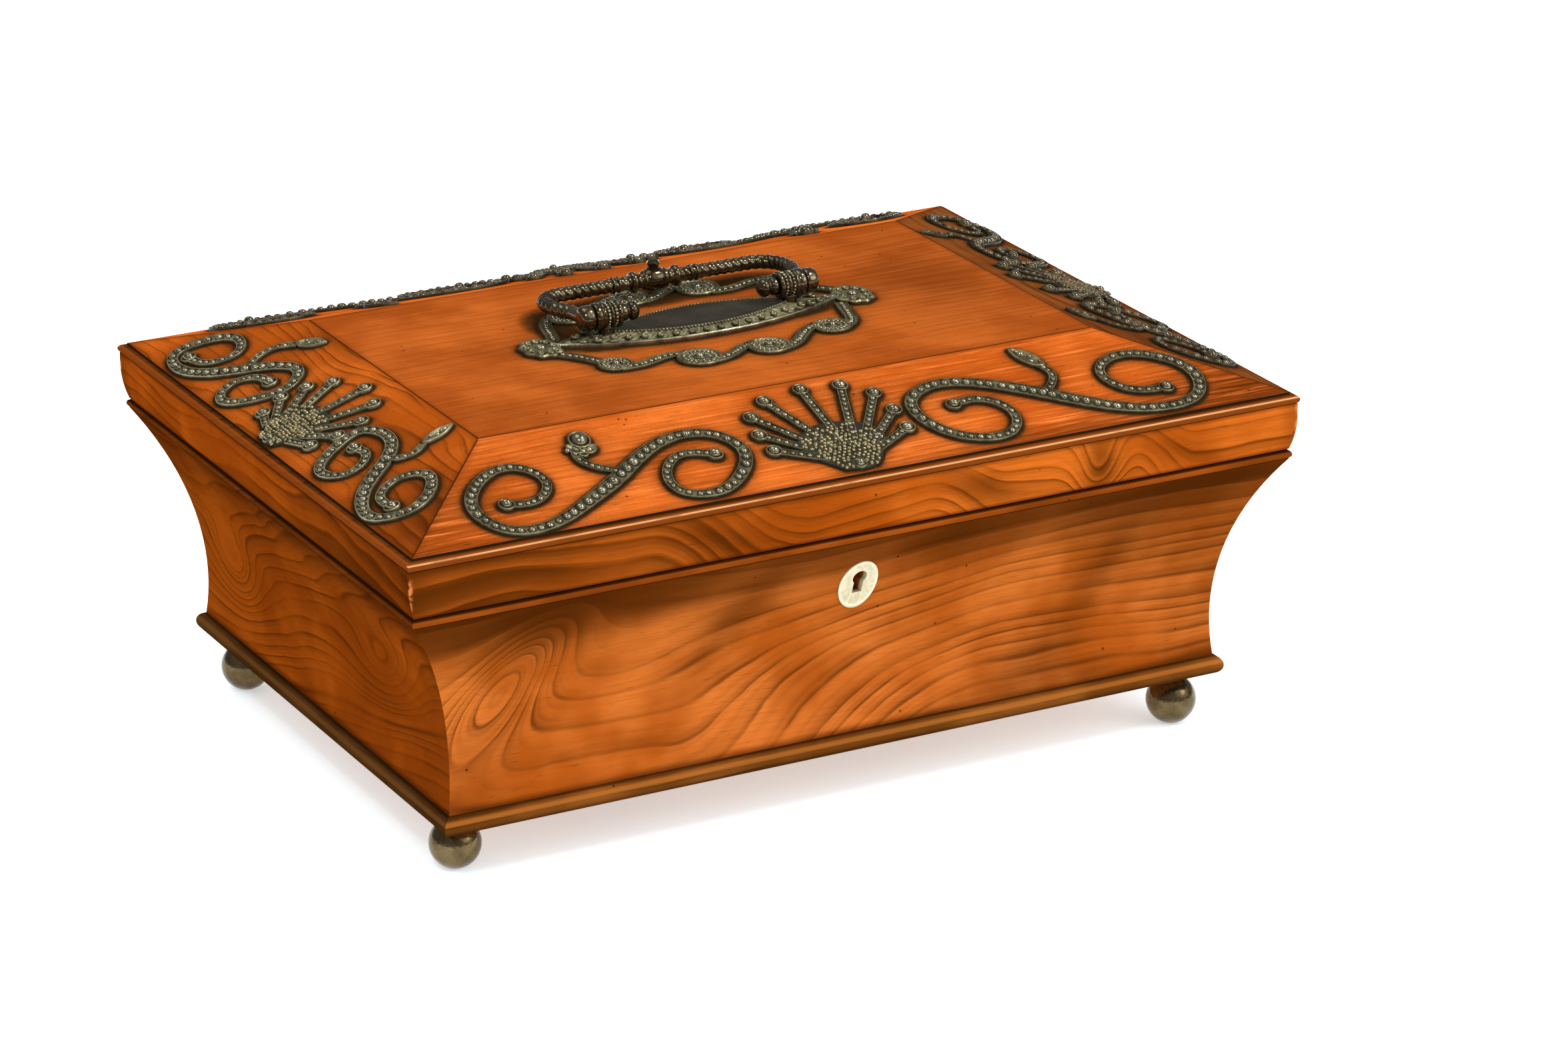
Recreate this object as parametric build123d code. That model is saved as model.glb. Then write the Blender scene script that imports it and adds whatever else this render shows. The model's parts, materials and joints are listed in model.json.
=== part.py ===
from build123d import *
import os
from math import asin, atan2, cos, degrees, hypot, pi, sin, sqrt

# A sarcophagus-shaped wooden work box with a hinged lid, a lift-out tray, a lock,
# ball feet, steel scroll mounts and a swinging handle. Millimetres, +Z up.
# The origin is on the floor under the middle of the box and the front faces -Y.

# Outline of the closed box
lid_width = 300.0
lid_depth = 225.0
foot_ball_radius = 8.0
foot_ball_flat = 0.1
foot_neck_height = 2.1
base_thickness = 6.4
body_height = 70.4
lid_gap = 0.4
rail_height = 15.1
lid_bead_height = 2.6
lid_rise = 15.1
panel_inset_x = 45.5
panel_inset_y = 49.7

# Walls of the body, measured inwards from the lid's outer faces
cove_radius = 95.0
cove_deepest_inset = 19.45
cove_deepest_height = 13.1
body_bead_inset = 1.5
body_bead_depth = 3.0
body_bead_height = 2.6
base_nose_inset = 15.9
base_strip_inner_inset = 22.0

# Lid
lid_bead_depth = 2.6
rail_face_inset = 0.5
rail_curve_height = 10.5
rail_foot_inset = 2.3
lid_board_thickness = 6.5
lining_board_thickness = 2.0
lining_board_height = 15.0
lining_clearance = 0.2
pad_thickness = 3.4
pad_margin = 5.0
pad_crown = 1.0

# Feet
foot_inset_x = 27.5
foot_inset_y = 28.5
front_left_foot_step = 6.8  # this foot stands that much further in than the other front foot
foot_neck_radius = 3.4
foot_collar_radius = 4.4
foot_collar_height = 0.9
foot_stud_radius = 2.0
foot_stud_length = 5.4
thread_clearance = 0.05

# Inside of the well
floor_lining_thickness = 0.8
floor_lining_clearance = 0.2
tray_rest_thickness = 3.5
tray_rest_height = 34.8
tray_clearance = 0.5
tray_seat_gap = 0.15
tray_height = 31.5
tray_base_thickness = 2.5
tray_side_thickness = 3.0
tray_divider_thickness = 2.5
tray_divider_drop = 3.0
tray_middle_length = 86.0
tray_middle_width = 58.0
tray_finger_hole_width = 20.0
tray_finger_hole_height = 11.0
tray_finger_hole_drop = 6.0
cushion_clearance = 0.4
cushion_height = 20.0
cushion_waist = 0.9

# Lock in the front wall
lock_x = 1.5
lock_case_width = 46.0
lock_case_depth = 8.5
lock_case_height = 24.5
lock_front_wood = 3.4
lock_plate_margin = 7.0
lock_plate_thickness = 1.6
lock_wall = 1.2
lock_side_wall = 2.0
lock_cover_margin = 6.5
keyhole_drop = 17.2
keyhole_radius = 2.35
keyhole_slot_width = 3.2
keyhole_slot_drop = 5.6
key_pin_radius = 1.2
key_pin_reach = 10.5
bolt_bar_height = 4.0
bolt_bar_rise = 3.3
bolt_bar_depth = 4.0
bolt_bar_reach = 15.0
bolt_arm_width = 3.0
bolt_finger_size = 1.8
bolt_finger_drop = 6.0
bolt_travel = 3.4
bolt_talon_width = 4.0
bolt_talon_depth = 1.4
bolt_gap = 0.25
staple_offset = 9.0
staple_thickness = 2.0
staple_width = 4.4
staple_reach = 8.6
staple_eye_clearance = 0.5
staple_slot_clearance = 0.6
lock_spring_thickness = 0.5
lock_spring_half_span = 3.9
lock_spring_offset = -3.0
escutcheon_width = 13.0
escutcheon_height = 18.6
escutcheon_thickness = 1.6
escutcheon_proud = 0.35
escutcheon_fit = 0.05

# Countersunk screws
screw_shank_radius = 0.9
screw_head_radius = 1.9
screw_head_height = 1.0
screw_length = 7.0
screw_clearance = 0.05
hinge_screw_length = 8.0

# Hinges in the back wall
hinge_spacing = 170.0
hinge_length = 40.0
hinge_leaf_depth = 14.0
hinge_leaf_thickness = 1.0
hinge_knuckle_radius = 1.6
hinge_pin_radius = 0.7
hinge_pin_clearance = 0.05
hinge_end_gap = 0.15
hinge_recess_clearance = 0.15
hinge_screw_row = 8.5
hinge_screw_spacing = 13.5

# Steel mounts on the lid's slopes
mount_thickness = 1.3
scroll_end_width = 3.2
scroll_middle_width = 4.4
scroll_stem_width = 2.4
scroll_end_stud_radius = 2.4
shell_ray_base_width = 3.5
shell_ray_tip_width = 3.1
shell_stud_radius = 2.2
shell_palm_radius = 9.0

# Handle and its plate on the centre panel
plate_thickness = 1.2
plate_half_length = 50.0
plate_half_width = 13.2
plate_rim = 1.8
plate_boss_rise = 1.9
plate_boss_half_length = 31.0
plate_boss_half_width = 9.0
palmette_centre = 54.3
palmette_half_length = 6.8
palmette_half_width = 9.0
ribbon_thickness = 1.2
ribbon_width = 4.2
roundel_boss_radius = 2.4
roundel_boss_height = 1.2
handle_axis_height = 8.0
handle_post_x = 32.0
handle_post_radius = 2.6
handle_drum_length = 9.0
handle_drum_radius = 4.3
handle_drum_band = 0.35
handle_stud_radius = 1.8
handle_nut_across_flats = 6.5
handle_nut_height = 2.6
handle_stud_spare = 1.2
pivot_radius = 1.3
pivot_clearance = 0.05
pivot_head_length = 7.0
pivot_head_radius = 3.0
eye_gap = 0.3
eye_thickness = 4.4
eye_radius = 4.0
eye_cap = 0.9
bail_rest_tilt = 4.0
bail_radius = 2.3
bail_half_width = 41.6
bail_reach = 31.0
bail_neck_reach = 9.5
bail_shoulder_reach = 17.0
bail_corner_radius = 9.0
bail_neck_radius = 7.0
bail_ball_radius = 3.7
bail_ball_length = 15.0
bail_collar_radius = 3.4
bail_knob_radius = 2.2
bail_knob_height = 3.4

# Heights and places that follow from the sizes above
lock_bottom_rise = body_height - lock_case_height - cove_deepest_height
cove_inset_at_lock = cove_deepest_inset - cove_radius + sqrt(cove_radius**2 - lock_bottom_rise**2)
wall_inner_inset = cove_inset_at_lock + lock_front_wood + lock_case_depth
lock_plate_width = lock_case_width + 2 * lock_plate_margin
foot_centre_z = foot_ball_radius - foot_ball_flat
base_bottom_z = foot_centre_z + foot_ball_radius + foot_neck_height
body_bottom_z = base_bottom_z + base_thickness
body_top_z = body_bottom_z + body_height
lid_bottom_z = body_top_z + lid_gap
rail_top_z = lid_bottom_z + rail_height
lid_edge_z = rail_top_z + lid_bead_height
panel_top_z = lid_edge_z + lid_rise
panel_bottom_z = panel_top_z - lid_board_thickness
well_half_x = lid_width / 2 - wall_inner_inset
well_half_y = lid_depth / 2 - wall_inner_inset
panel_half_x = lid_width / 2 - panel_inset_x
panel_half_y = lid_depth / 2 - panel_inset_y
hinge_axis_y = lid_depth / 2 - hinge_knuckle_radius
hinge_axis_z = body_top_z + lid_gap / 2
tray_bottom_z = body_bottom_z + floor_lining_thickness + tray_rest_height + tray_seat_gap
handle_axis_z = panel_top_z + handle_axis_height
reach = 400.0

# Centre lines of the front slope's scrolls: distance along the edge and up the slope
front_left_scroll = [
    (-110.8, 18.1), (-101.0, 17.6), (-94.9, 26.0), (-101.5, 34.6), (-113.5, 31.0),
    (-121.0, 17.0), (-115.0, 6.6), (-101.7, 5.6), (-87.5, 12.3), (-74.6, 20.2),
    (-63.5, 28.3), (-50.0, 34.8), (-36.5, 32.9), (-31.3, 23.5), (-36.7, 12.7),
    (-48.5, 6.1), (-58.6, 10.0), (-57.6, 20.5), (-49.0, 26.4), (-40.4, 23.4),
]
front_left_stem = [(-71.7, 24.0), (-77.0, 27.6), (-80.6, 32.5), (-80.4, 36.6)]
front_left_bud = ((-76.3, 42.3), 2.6, 6.6, 24.0)
front_right_scroll = [
    (41.7, 26.0), (50.5, 26.4), (57.4, 17.5), (53.0, 8.6), (41.5, 8.2),
    (30.6, 17.6), (29.2, 30.2), (39.0, 36.8), (53.0, 34.6), (66.0, 27.4),
    (78.0, 18.9), (90.0, 11.0), (106.0, 6.3), (118.8, 9.8), (122.8, 21.0),
    (115.0, 31.8), (102.0, 34.6), (94.3, 28.0), (98.5, 18.2), (110.6, 15.4),
]
front_right_stem = [(72.4, 23.6), (77.6, 28.4), (79.3, 33.2), (77.4, 37.4)]
front_right_bud = ((75.0, 44.2), 2.6, 6.4, 22.0)
front_shell_tips = [
    (-22.5, 19.8), (-23.2, 28.3), (-21.5, 37.3), (-13.8, 43.8), (-0.3, 46.3),
    (12.6, 45.0), (20.8, 38.4), (22.7, 28.8), (22.3, 19.3),
]
front_shell_palm = (-0.6, 15.6)

# Centre lines of the left slope's scrolls: distance towards the back and up the slope
left_front_scroll = [
    (-76.7, 12.0), (-67.5, 12.4), (-62.6, 20.5), (-67.6, 27.2), (-77.5, 25.0),
    (-83.9, 14.6), (-78.0, 5.8), (-65.8, 7.0), (-54.2, 16.2), (-45.0, 26.6),
    (-34.0, 30.3), (-23.6, 25.8), (-25.8, 16.2), (-36.6, 6.9), (-44.5, 12.4),
    (-39.6, 20.8), (-32.1, 20.2),
]
left_front_stem = [(-48.0, 23.8), (-52.6, 29.4), (-54.4, 35.6), (-51.6, 38.2)]
left_front_bud = ((-48.8, 42.0), 2.3, 4.8, 30.0)
left_back_scroll = [
    (34.6, 21.2), (43.0, 19.4), (46.4, 12.0), (39.6, 6.2), (29.6, 13.2),
    (26.2, 23.8), (33.0, 30.6), (43.0, 27.4), (53.0, 18.2), (63.0, 9.8),
    (75.0, 6.0), (84.8, 9.6), (83.0, 19.6), (73.0, 27.0), (64.4, 22.6),
    (68.2, 13.6), (77.5, 11.2),
]
left_back_stem = [(51.6, 21.4), (55.6, 27.4), (54.6, 33.4), (49.9, 38.0)]
left_back_bud = ((46.6, 42.2), 2.3, 4.8, 34.0)
left_shell_tips = [
    (-16.9, 12.0), (-19.6, 20.2), (-18.3, 29.0), (-11.6, 36.4), (0.6, 39.0),
    (14.4, 34.2), (19.8, 27.4), (21.5, 19.2), (17.8, 11.2),
]
left_shell_palm = (0.4, 12.6)

# The ribbon in front of the handle: its bands' centre lines, and its roundels' places and radii
ribbon_bands = [
    [(-51.5, -7.5), (-46.5, -14.0), (-43.0, -20.5)],
    [(-41.0, -28.0), (-32.5, -27.6), (-24.0, -24.8), (-17.0, -25.0)],
    [(-13.5, -35.4), (-6.0, -33.2), (1.0, -28.6), (6.5, -26.6)],
    [(10.0, -35.6), (17.0, -32.6), (24.0, -25.2), (31.0, -20.2)],
    [(36.0, -27.6), (41.8, -22.6), (45.2, -13.0), (47.5, -5.0)],
]
ribbon_roundels = [((-40.5, -24.2), 5.6), ((-15.0, -30.6), 7.2), ((8.6, -31.2), 6.9), ((34.4, -23.8), 6.2)]


def make(name, *solids):
    """Write one named piece, or one named set of alike pieces, to its STEP file."""
    found = [s for solid in solids for s in solid.solids()]
    export_step(Compound(children=found) if len(found) > 1 else found[0], f"parts/{name}.step")


def block(low, high):
    """A box between two corners."""
    size = [b - a for a, b in zip(low, high)]
    return Pos(*low) * Box(*size, align=(Align.MIN, Align.MIN, Align.MIN))


def rod(centre, axis, radius, start, end):
    """A cylinder along X, Y or Z between two places on that axis."""
    turn = {"X": Rot(0, 90, 0), "Y": Rot(-90, 0, 0), "Z": Rot(0, 0, 0)}[axis]
    along = {"X": (start, 0, 0), "Y": (0, start, 0), "Z": (0, 0, start)}[axis]
    base = Cylinder(radius, end - start, align=(Align.CENTER, Align.CENTER, Align.MIN))
    return Pos(*centre) * Pos(*along) * turn * base


# Frames of the four sides: +X runs inwards from the lid's outer face
side_frame = {
    "front": Pos(0, -lid_depth / 2, 0) * Rot(0, 0, 90),
    "back": Pos(0, lid_depth / 2, 0) * Rot(0, 0, -90),
    "left": Pos(-lid_width / 2, 0, 0),
    "right": Pos(lid_width / 2, 0, 0) * Rot(0, 0, 180),
}
side_half = {
    "front": lid_width / 2,
    "back": lid_width / 2,
    "left": lid_depth / 2,
    "right": lid_depth / 2,
}


def mitred_strip(side, section):
    """Run a section, drawn as inset and height, along one side with both ends mitred."""
    inner = section.bounding_box().max.X + 1
    half = side_half[side]
    plan = Polyline((-1, -half - 1), (-1, half + 1), (inner, half - inner), (inner, inner - half), close=True)
    wedge = extrude(make_face(plan), amount=reach)
    strip = extrude(section, amount=half + 2, both=True)
    return side_frame[side] * (strip & wedge)


def section_face(*edges):
    """A face on the XZ plane from lines drawn as inset and height."""
    return make_face([edge for line in edges for edge in (Plane.XZ * line).edges()])


def cove_inset(z):
    """Inset of the hollowed wall at a height."""
    rise = z - body_bottom_z - cove_deepest_height
    return cove_deepest_inset - cove_radius + sqrt(cove_radius**2 - rise**2)


def cove_slope(z):
    """Tilt of the hollowed wall at a height, in degrees from upright."""
    return degrees(asin((z - body_bottom_z - cove_deepest_height) / cove_radius))


def wall_section():
    bead_z = body_top_z - body_bead_height
    bead_inner = body_bead_inset + body_bead_depth
    outline = Polyline(
        (cove_inset(body_bottom_z), body_bottom_z),
        (wall_inner_inset, body_bottom_z),
        (wall_inner_inset, body_top_z),
        (bead_inner, body_top_z),
        (bead_inner, bead_z),
        (cove_inset(bead_z), bead_z),
    )
    middle_z = (bead_z + body_bottom_z) / 2
    cove = ThreePointArc(
        (cove_inset(bead_z), bead_z),
        (cove_inset(middle_z), middle_z),
        (cove_inset(body_bottom_z), body_bottom_z),
    )
    return section_face(outline, cove)


def nosed_section(nose_inset, inner_inset, low_z, high_z):
    """A strip with a half-round outer edge."""
    radius = (high_z - low_z) / 2
    flat = nose_inset + radius
    outline = Polyline((flat, low_z), (inner_inset, low_z), (inner_inset, high_z), (flat, high_z))
    nose = ThreePointArc((flat, high_z), (nose_inset, (low_z + high_z) / 2), (flat, low_z))
    return section_face(outline, nose)


def slope_z(inset, run):
    """Height of a slope's upper face at an inset."""
    return lid_edge_z + lid_rise * inset / run


def rail_section(run):
    """A lid rail: a face that curves in at its foot, and a top that carries the slope board."""
    seat_outer = slope_z(lid_bead_depth, run) - lid_board_thickness
    seat_inner = slope_z(wall_inner_inset, run) - lid_board_thickness
    curve_top = lid_bottom_z + rail_curve_height
    swell = (rail_foot_inset - rail_face_inset) * 0.25
    outline = Polyline(
        (rail_foot_inset, lid_bottom_z),
        (wall_inner_inset, lid_bottom_z),
        (wall_inner_inset, seat_inner),
        (lid_bead_depth, seat_outer),
        (lid_bead_depth, rail_top_z),
        (rail_face_inset, rail_top_z),
        (rail_face_inset, curve_top),
    )
    curve = ThreePointArc(
        (rail_face_inset, curve_top),
        (rail_face_inset + swell, lid_bottom_z + rail_curve_height / 2),
        (rail_foot_inset, lid_bottom_z),
    )
    return section_face(outline, curve)


def slope_board(side):
    """A sloping lid board, mitred where it meets its neighbours."""
    run = panel_inset_y if side in ("front", "back") else panel_inset_x
    half = side_half[side]
    end = half - (panel_inset_x if side in ("front", "back") else panel_inset_y)
    section = section_face(
        Polyline(
            (lid_bead_depth, slope_z(lid_bead_depth, run)),
            (run, panel_top_z),
            (run, panel_top_z - lid_board_thickness),
            (lid_bead_depth, slope_z(lid_bead_depth, run) - lid_board_thickness),
            close=True,
        )
    )
    plan = Polyline((0, -half), (0, half), (run, end), (run, -end), close=True)
    wedge = extrude(make_face(plan), amount=reach)
    return side_frame[side] * (extrude(section, amount=half, both=True) & wedge)


def screw(x, y, z, axis_sign, length, axis="Z"):
    """A countersunk screw whose flat head lies at z and whose shank runs the given way."""
    head = Cone(
        screw_head_radius,
        screw_shank_radius,
        screw_head_height,
        align=(Align.CENTER, Align.CENTER, Align.MIN),
    )
    shank = rod((0, 0, 0), "Z", screw_shank_radius, screw_head_height, length)
    turned = {("Z", 1): Rot(0, 0, 0), ("Z", -1): Rot(180, 0, 0), ("Y", -1): Rot(90, 0, 0)}[(axis, axis_sign)]
    return Pos(x, y, z) * turned * (head + shank)


def screw_hole(x, y, z, axis_sign, length, axis="Z"):
    """The room that a countersunk screw takes."""
    wide = screw_head_radius + screw_clearance
    narrow = screw_shank_radius + screw_clearance
    head = Cone(wide, narrow, screw_head_height, align=(Align.CENTER, Align.CENTER, Align.MIN))
    shank = rod((0, 0, 0), "Z", narrow, screw_head_height, length + screw_clearance)
    turned = {("Z", 1): Rot(0, 0, 0), ("Z", -1): Rot(180, 0, 0), ("Y", -1): Rot(90, 0, 0)}[(axis, axis_sign)]
    return Pos(x, y, z) * turned * (head + shank)


# Lock, drawn from the inner face of the front wall outwards
lock_back_y = -well_half_y
lock_front_y = lock_back_y - lock_case_depth
lock_middle_y = (lock_front_y + lock_wall + lock_back_y - lock_wall) / 2
lock_bottom_z = body_top_z - lock_case_height
keyhole_z = body_top_z - keyhole_drop
bar_bottom_z = keyhole_z + bolt_bar_rise
bar_top_z = bar_bottom_z + bolt_bar_height
finger_z = body_top_z - bolt_finger_drop
lock_plate_bottom_z = body_top_z - lock_plate_thickness
lock_screw_x = lock_case_width / 2 + lock_cover_margin / 2
lock_screw_z = [lock_bottom_z + 4.0, lock_plate_bottom_z - 4.0]


def keyhole(y_from, y_to, extra=0.0):
    """A round-headed keyhole cut along Y."""
    head = rod((lock_x, 0, keyhole_z), "Y", keyhole_radius + extra, y_from, y_to)
    half = keyhole_slot_width / 2 + extra
    slot = block(
        (lock_x - half, y_from, keyhole_z - keyhole_slot_drop - extra),
        (lock_x + half, y_to, keyhole_z),
    )
    return head + slot


def lock_case():
    half = lock_case_width / 2
    shell = block(
        (lock_x - half, lock_front_y, lock_bottom_z), (lock_x + half, lock_back_y - lock_wall, body_top_z),
    )
    half_plate = lock_plate_width / 2
    shell += block(
        (lock_x - half_plate, lock_front_y, lock_plate_bottom_z),
        (lock_x + half_plate, lock_back_y, body_top_z),
    )
    inner = half - lock_side_wall
    shell -= block(
        (lock_x - inner, lock_front_y + lock_wall, lock_bottom_z + lock_side_wall),
        (lock_x + inner, lock_back_y - lock_wall, lock_plate_bottom_z),
    )
    for side in (-1, 1):
        guide_x = lock_x + side * (bolt_bar_reach - 1.5)
        shell += block(
            (guide_x - 1.5, lock_front_y + lock_wall, lock_bottom_z + lock_side_wall),
            (guide_x + 1.5, lock_back_y - lock_wall, bar_bottom_z - bolt_gap / 2),
        )
        staple_x = lock_x + side * staple_offset
        half_slot_x = staple_thickness / 2 + staple_slot_clearance
        half_slot_y = staple_width / 2 + staple_slot_clearance
        shell -= block(
            (staple_x - half_slot_x, lock_middle_y - half_slot_y, lock_plate_bottom_z - 0.1),
            (staple_x + half_slot_x, lock_middle_y + half_slot_y, body_top_z + 0.1),
        )
    return shell - keyhole(lock_front_y - 1, lock_front_y + lock_wall + 0.5)


def lock_cover():
    half = lock_case_width / 2 + lock_cover_margin
    plate = block(
        (lock_x - half, lock_back_y - lock_wall, lock_bottom_z),
        (lock_x + half, lock_back_y, lock_plate_bottom_z),
    )
    for x, z in lock_screw_places():
        plate -= screw_hole(x, lock_back_y, z, -1, screw_length, "Y")
    pin = key_pin_radius - screw_clearance
    return plate - rod((lock_x, 0, keyhole_z), "Y", pin, lock_back_y - lock_wall - 1, lock_back_y + 1)


def lock_screw_places():
    return [(lock_x + side * lock_screw_x, z) for side in (-1, 1) for z in lock_screw_z]


def lock_bolt():
    """A bar with two upright arms whose fingers pass through the link plate's staples."""
    half_depth = bolt_bar_depth / 2
    low_y = lock_middle_y - half_depth
    high_y = lock_middle_y + half_depth
    bar = block((lock_x - bolt_bar_reach, low_y, bar_bottom_z), (lock_x + bolt_bar_reach, high_y, bar_top_z))
    half_talon = bolt_talon_width / 2
    bar -= block(
        (lock_x - half_talon, low_y - 1, bar_bottom_z - 1),
        (lock_x + half_talon, high_y + 1, bar_bottom_z + bolt_talon_depth),
    )
    half_finger = bolt_finger_size / 2
    for side in (-1, 1):
        staple_face = lock_x + side * staple_offset - staple_thickness / 2
        finger_tip = staple_face - bolt_gap
        arm_right = staple_face - bolt_travel - bolt_gap
        arm_left = arm_right - bolt_arm_width
        bar += block(
            (arm_left, low_y, bar_bottom_z + bolt_talon_depth), (arm_right, high_y, finger_z + half_finger),
        )
        bar += block(
            (arm_left, lock_middle_y - half_finger, finger_z - half_finger),
            (finger_tip, lock_middle_y + half_finger, finger_z + half_finger),
        )
    return bar


def lock_spring():
    """A bowed leaf that presses on the bolt from under the lock's top plate."""
    half_span = lock_spring_half_span
    drop = lock_plate_bottom_z - bar_top_z - bolt_gap
    thick = lock_spring_thickness
    bow = Ellipse(half_span, drop) - Ellipse(half_span - thick, drop - thick)
    bow &= Pos(0, -drop / 2) * Rectangle(2 * half_span, drop)
    face = Plane.XZ * (Pos(lock_x + lock_spring_offset, lock_plate_bottom_z) * bow)
    return Pos(0, lock_middle_y, 0) * extrude(face, amount=bolt_bar_depth / 2 - 0.2, both=True)


def link_plate():
    """The plate let into the lid rail, with two riveted staples that the bolt's fingers enter."""
    half = lock_case_width / 2
    top_z = lid_bottom_z + lock_plate_thickness
    plate = block((lock_x - half, lock_front_y, lid_bottom_z), (lock_x + half, lock_back_y, top_z))
    for x in link_screw_places():
        plate -= screw_hole(x, lock_middle_y, lid_bottom_z, 1, screw_length)
    half_x = staple_thickness / 2
    half_y = staple_width / 2
    eye = bolt_finger_size / 2 + staple_eye_clearance
    staples = []
    for side in (-1, 1):
        x = lock_x + side * staple_offset
        staple = block(
            (x - half_x, lock_middle_y - half_y, lid_bottom_z - staple_reach),
            (x + half_x, lock_middle_y + half_y, lid_bottom_z),
        )
        staple -= block(
            (x - half_x - 1, lock_middle_y - eye, finger_z - eye),
            (x + half_x + 1, lock_middle_y + eye, finger_z + eye),
        )
        staples.append(staple)
    return [plate] + staples


def link_screw_places():
    return [lock_x + side * (lock_case_width / 2 - 4.5) for side in (-1, 1)]


def escutcheon_tool(width, height, low, high):
    """An oval prism square to the hollowed wall at the keyhole."""
    z = keyhole_z - 2.4
    tilt = cove_slope(z)
    wall_y = -lid_depth / 2 + cove_inset(z)
    plane = Plane(
        origin=(lock_x, wall_y, z),
        x_dir=(1, 0, 0),
        z_dir=(0, -cos(tilt * pi / 180), -sin(tilt * pi / 180)),
    )
    oval = plane * Ellipse(width / 2, height / 2)
    return extrude(oval, amount=high) + extrude(oval, amount=-low)


def escutcheon():
    oval = escutcheon_tool(escutcheon_width, escutcheon_height, escutcheon_thickness, 8.0)
    proud_radius = cove_radius - escutcheon_proud
    centre_inset = cove_deepest_inset - cove_radius
    centre_z = body_bottom_z + cove_deepest_height
    axis_y = -lid_depth / 2 + centre_inset
    keep_out = rod((0, axis_y, centre_z), "X", proud_radius, -reach / 2, reach / 2)
    return oval - keep_out - keyhole(-lid_depth / 2 - 10, lock_front_y)


def hinge_centres():
    return [side * hinge_spacing / 2 for side in (-1, 1)]


def knuckle_spans():
    """Start and end of each hinge's three knuckles, from its middle."""
    third = hinge_length / 3
    edges = [-hinge_length / 2, -third / 2, third / 2, hinge_length / 2]
    return [(a + hinge_end_gap / 2, b - hinge_end_gap / 2) for a, b in zip(edges, edges[1:])]


def hinge_leaf(centre, level):
    """One leaf with its share of the knuckles: the lower leaf has two, the upper leaf one."""
    low_z, high_z, own = {
        "lower": (body_top_z - hinge_leaf_thickness, body_top_z, (0, 2)),
        "upper": (lid_bottom_z, lid_bottom_z + hinge_leaf_thickness, (1,)),
    }[level]
    half = hinge_length / 2
    leaf = block(
        (centre - half, hinge_axis_y - hinge_leaf_depth, low_z), (centre + half, hinge_axis_y, high_z),
    )
    axis = (centre, hinge_axis_y, hinge_axis_z)
    for number, (start, end) in enumerate(knuckle_spans()):
        if number in own:
            leaf += rod(axis, "X", hinge_knuckle_radius, start, end)
        else:
            room = hinge_knuckle_radius + hinge_recess_clearance
            leaf -= rod(axis, "X", room, start - hinge_end_gap, end + hinge_end_gap)
    leaf -= rod(axis, "X", hinge_pin_radius + hinge_pin_clearance, -half - 1, half + 1)
    face_z, way = {"lower": (high_z, -1), "upper": (low_z, 1)}[level]
    for x, y in hinge_screw_places(centre):
        leaf -= screw_hole(x, y, face_z, way, hinge_screw_length)
    return leaf


def hinge_screw_places(centre):
    row_y = hinge_axis_y - hinge_screw_row
    return [(centre + step * hinge_screw_spacing, row_y) for step in (-1, 0, 1)]


def hinge_room(level):
    """The wood cut away for both hinges' leaves, knuckles and screws."""
    low_z, high_z = {
        "lower": (body_top_z - hinge_leaf_thickness, body_top_z + 1),
        "upper": (lid_bottom_z - 1, lid_bottom_z + hinge_leaf_thickness),
    }[level]
    half = hinge_length / 2 + hinge_end_gap
    room = Part()
    for centre in hinge_centres():
        room += block(
            (centre - half, hinge_axis_y - hinge_leaf_depth, low_z),
            (centre + half, lid_depth / 2 + 5, high_z),
        )
        knuckle = hinge_knuckle_radius + hinge_recess_clearance
        room += rod((centre, hinge_axis_y, hinge_axis_z), "X", knuckle, -half, half)
        face_z, way = {"lower": (body_top_z, -1), "upper": (lid_bottom_z, 1)}[level]
        for x, y in hinge_screw_places(centre):
            room += screw_hole(x, y, face_z, way, hinge_screw_length)
    return room


def slope_plane(side):
    """The upper face of a slope: x along the edge, y up the slope, z outwards."""
    if side == "front":
        length = hypot(panel_inset_y, lid_rise)
        normal = (0, -lid_rise / length, panel_inset_y / length)
        return Plane(origin=(0, -lid_depth / 2, lid_edge_z), x_dir=(1, 0, 0), z_dir=normal)
    length = hypot(panel_inset_x, lid_rise)
    normal = (-lid_rise / length, 0, panel_inset_x / length)
    return Plane(origin=(-lid_width / 2, 0, lid_edge_z), x_dir=(0, -1, 0), z_dir=normal)


def band(points, end_width, middle_width):
    """A flat band along a smooth centre line, widest in its middle, with rounded ends."""
    line = Spline(*points)
    count = 3 * len(points)
    left, right = [], []
    for step in range(count + 1):
        t = step / count
        place, heading = line @ t, line % t
        half = (end_width + (middle_width - end_width) * sin(pi * t) ** 2) / 2
        left.append((place.X - heading.Y * half, place.Y + heading.X * half))
        right.append((place.X + heading.Y * half, place.Y - heading.X * half))
    start_out = line @ 0 - (line % 0) * (end_width / 2)
    end_out = line @ 1 + (line % 1) * (end_width / 2)
    edges = [
        Spline(*left),
        ThreePointArc(left[-1], (end_out.X, end_out.Y), right[-1]),
        Spline(*reversed(right)),
        ThreePointArc(right[0], (start_out.X, start_out.Y), left[0]),
    ]
    return make_face(edges)


def scroll_face(points, stem, bud):
    """A scroll with studs at both ends and a budding stem on its middle."""
    face = band(points, scroll_end_width, scroll_middle_width)
    for end in (points[0], points[-1]):
        face += Pos(*end) * Circle(scroll_end_stud_radius)
    face += band(stem, scroll_stem_width, scroll_stem_width)
    (x, y), half_width, half_length, lean = bud
    lean = -lean if stem[-1][0] < x else lean
    return face + Pos(x, y) * Rot(0, 0, lean) * Ellipse(half_width, half_length)


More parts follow.
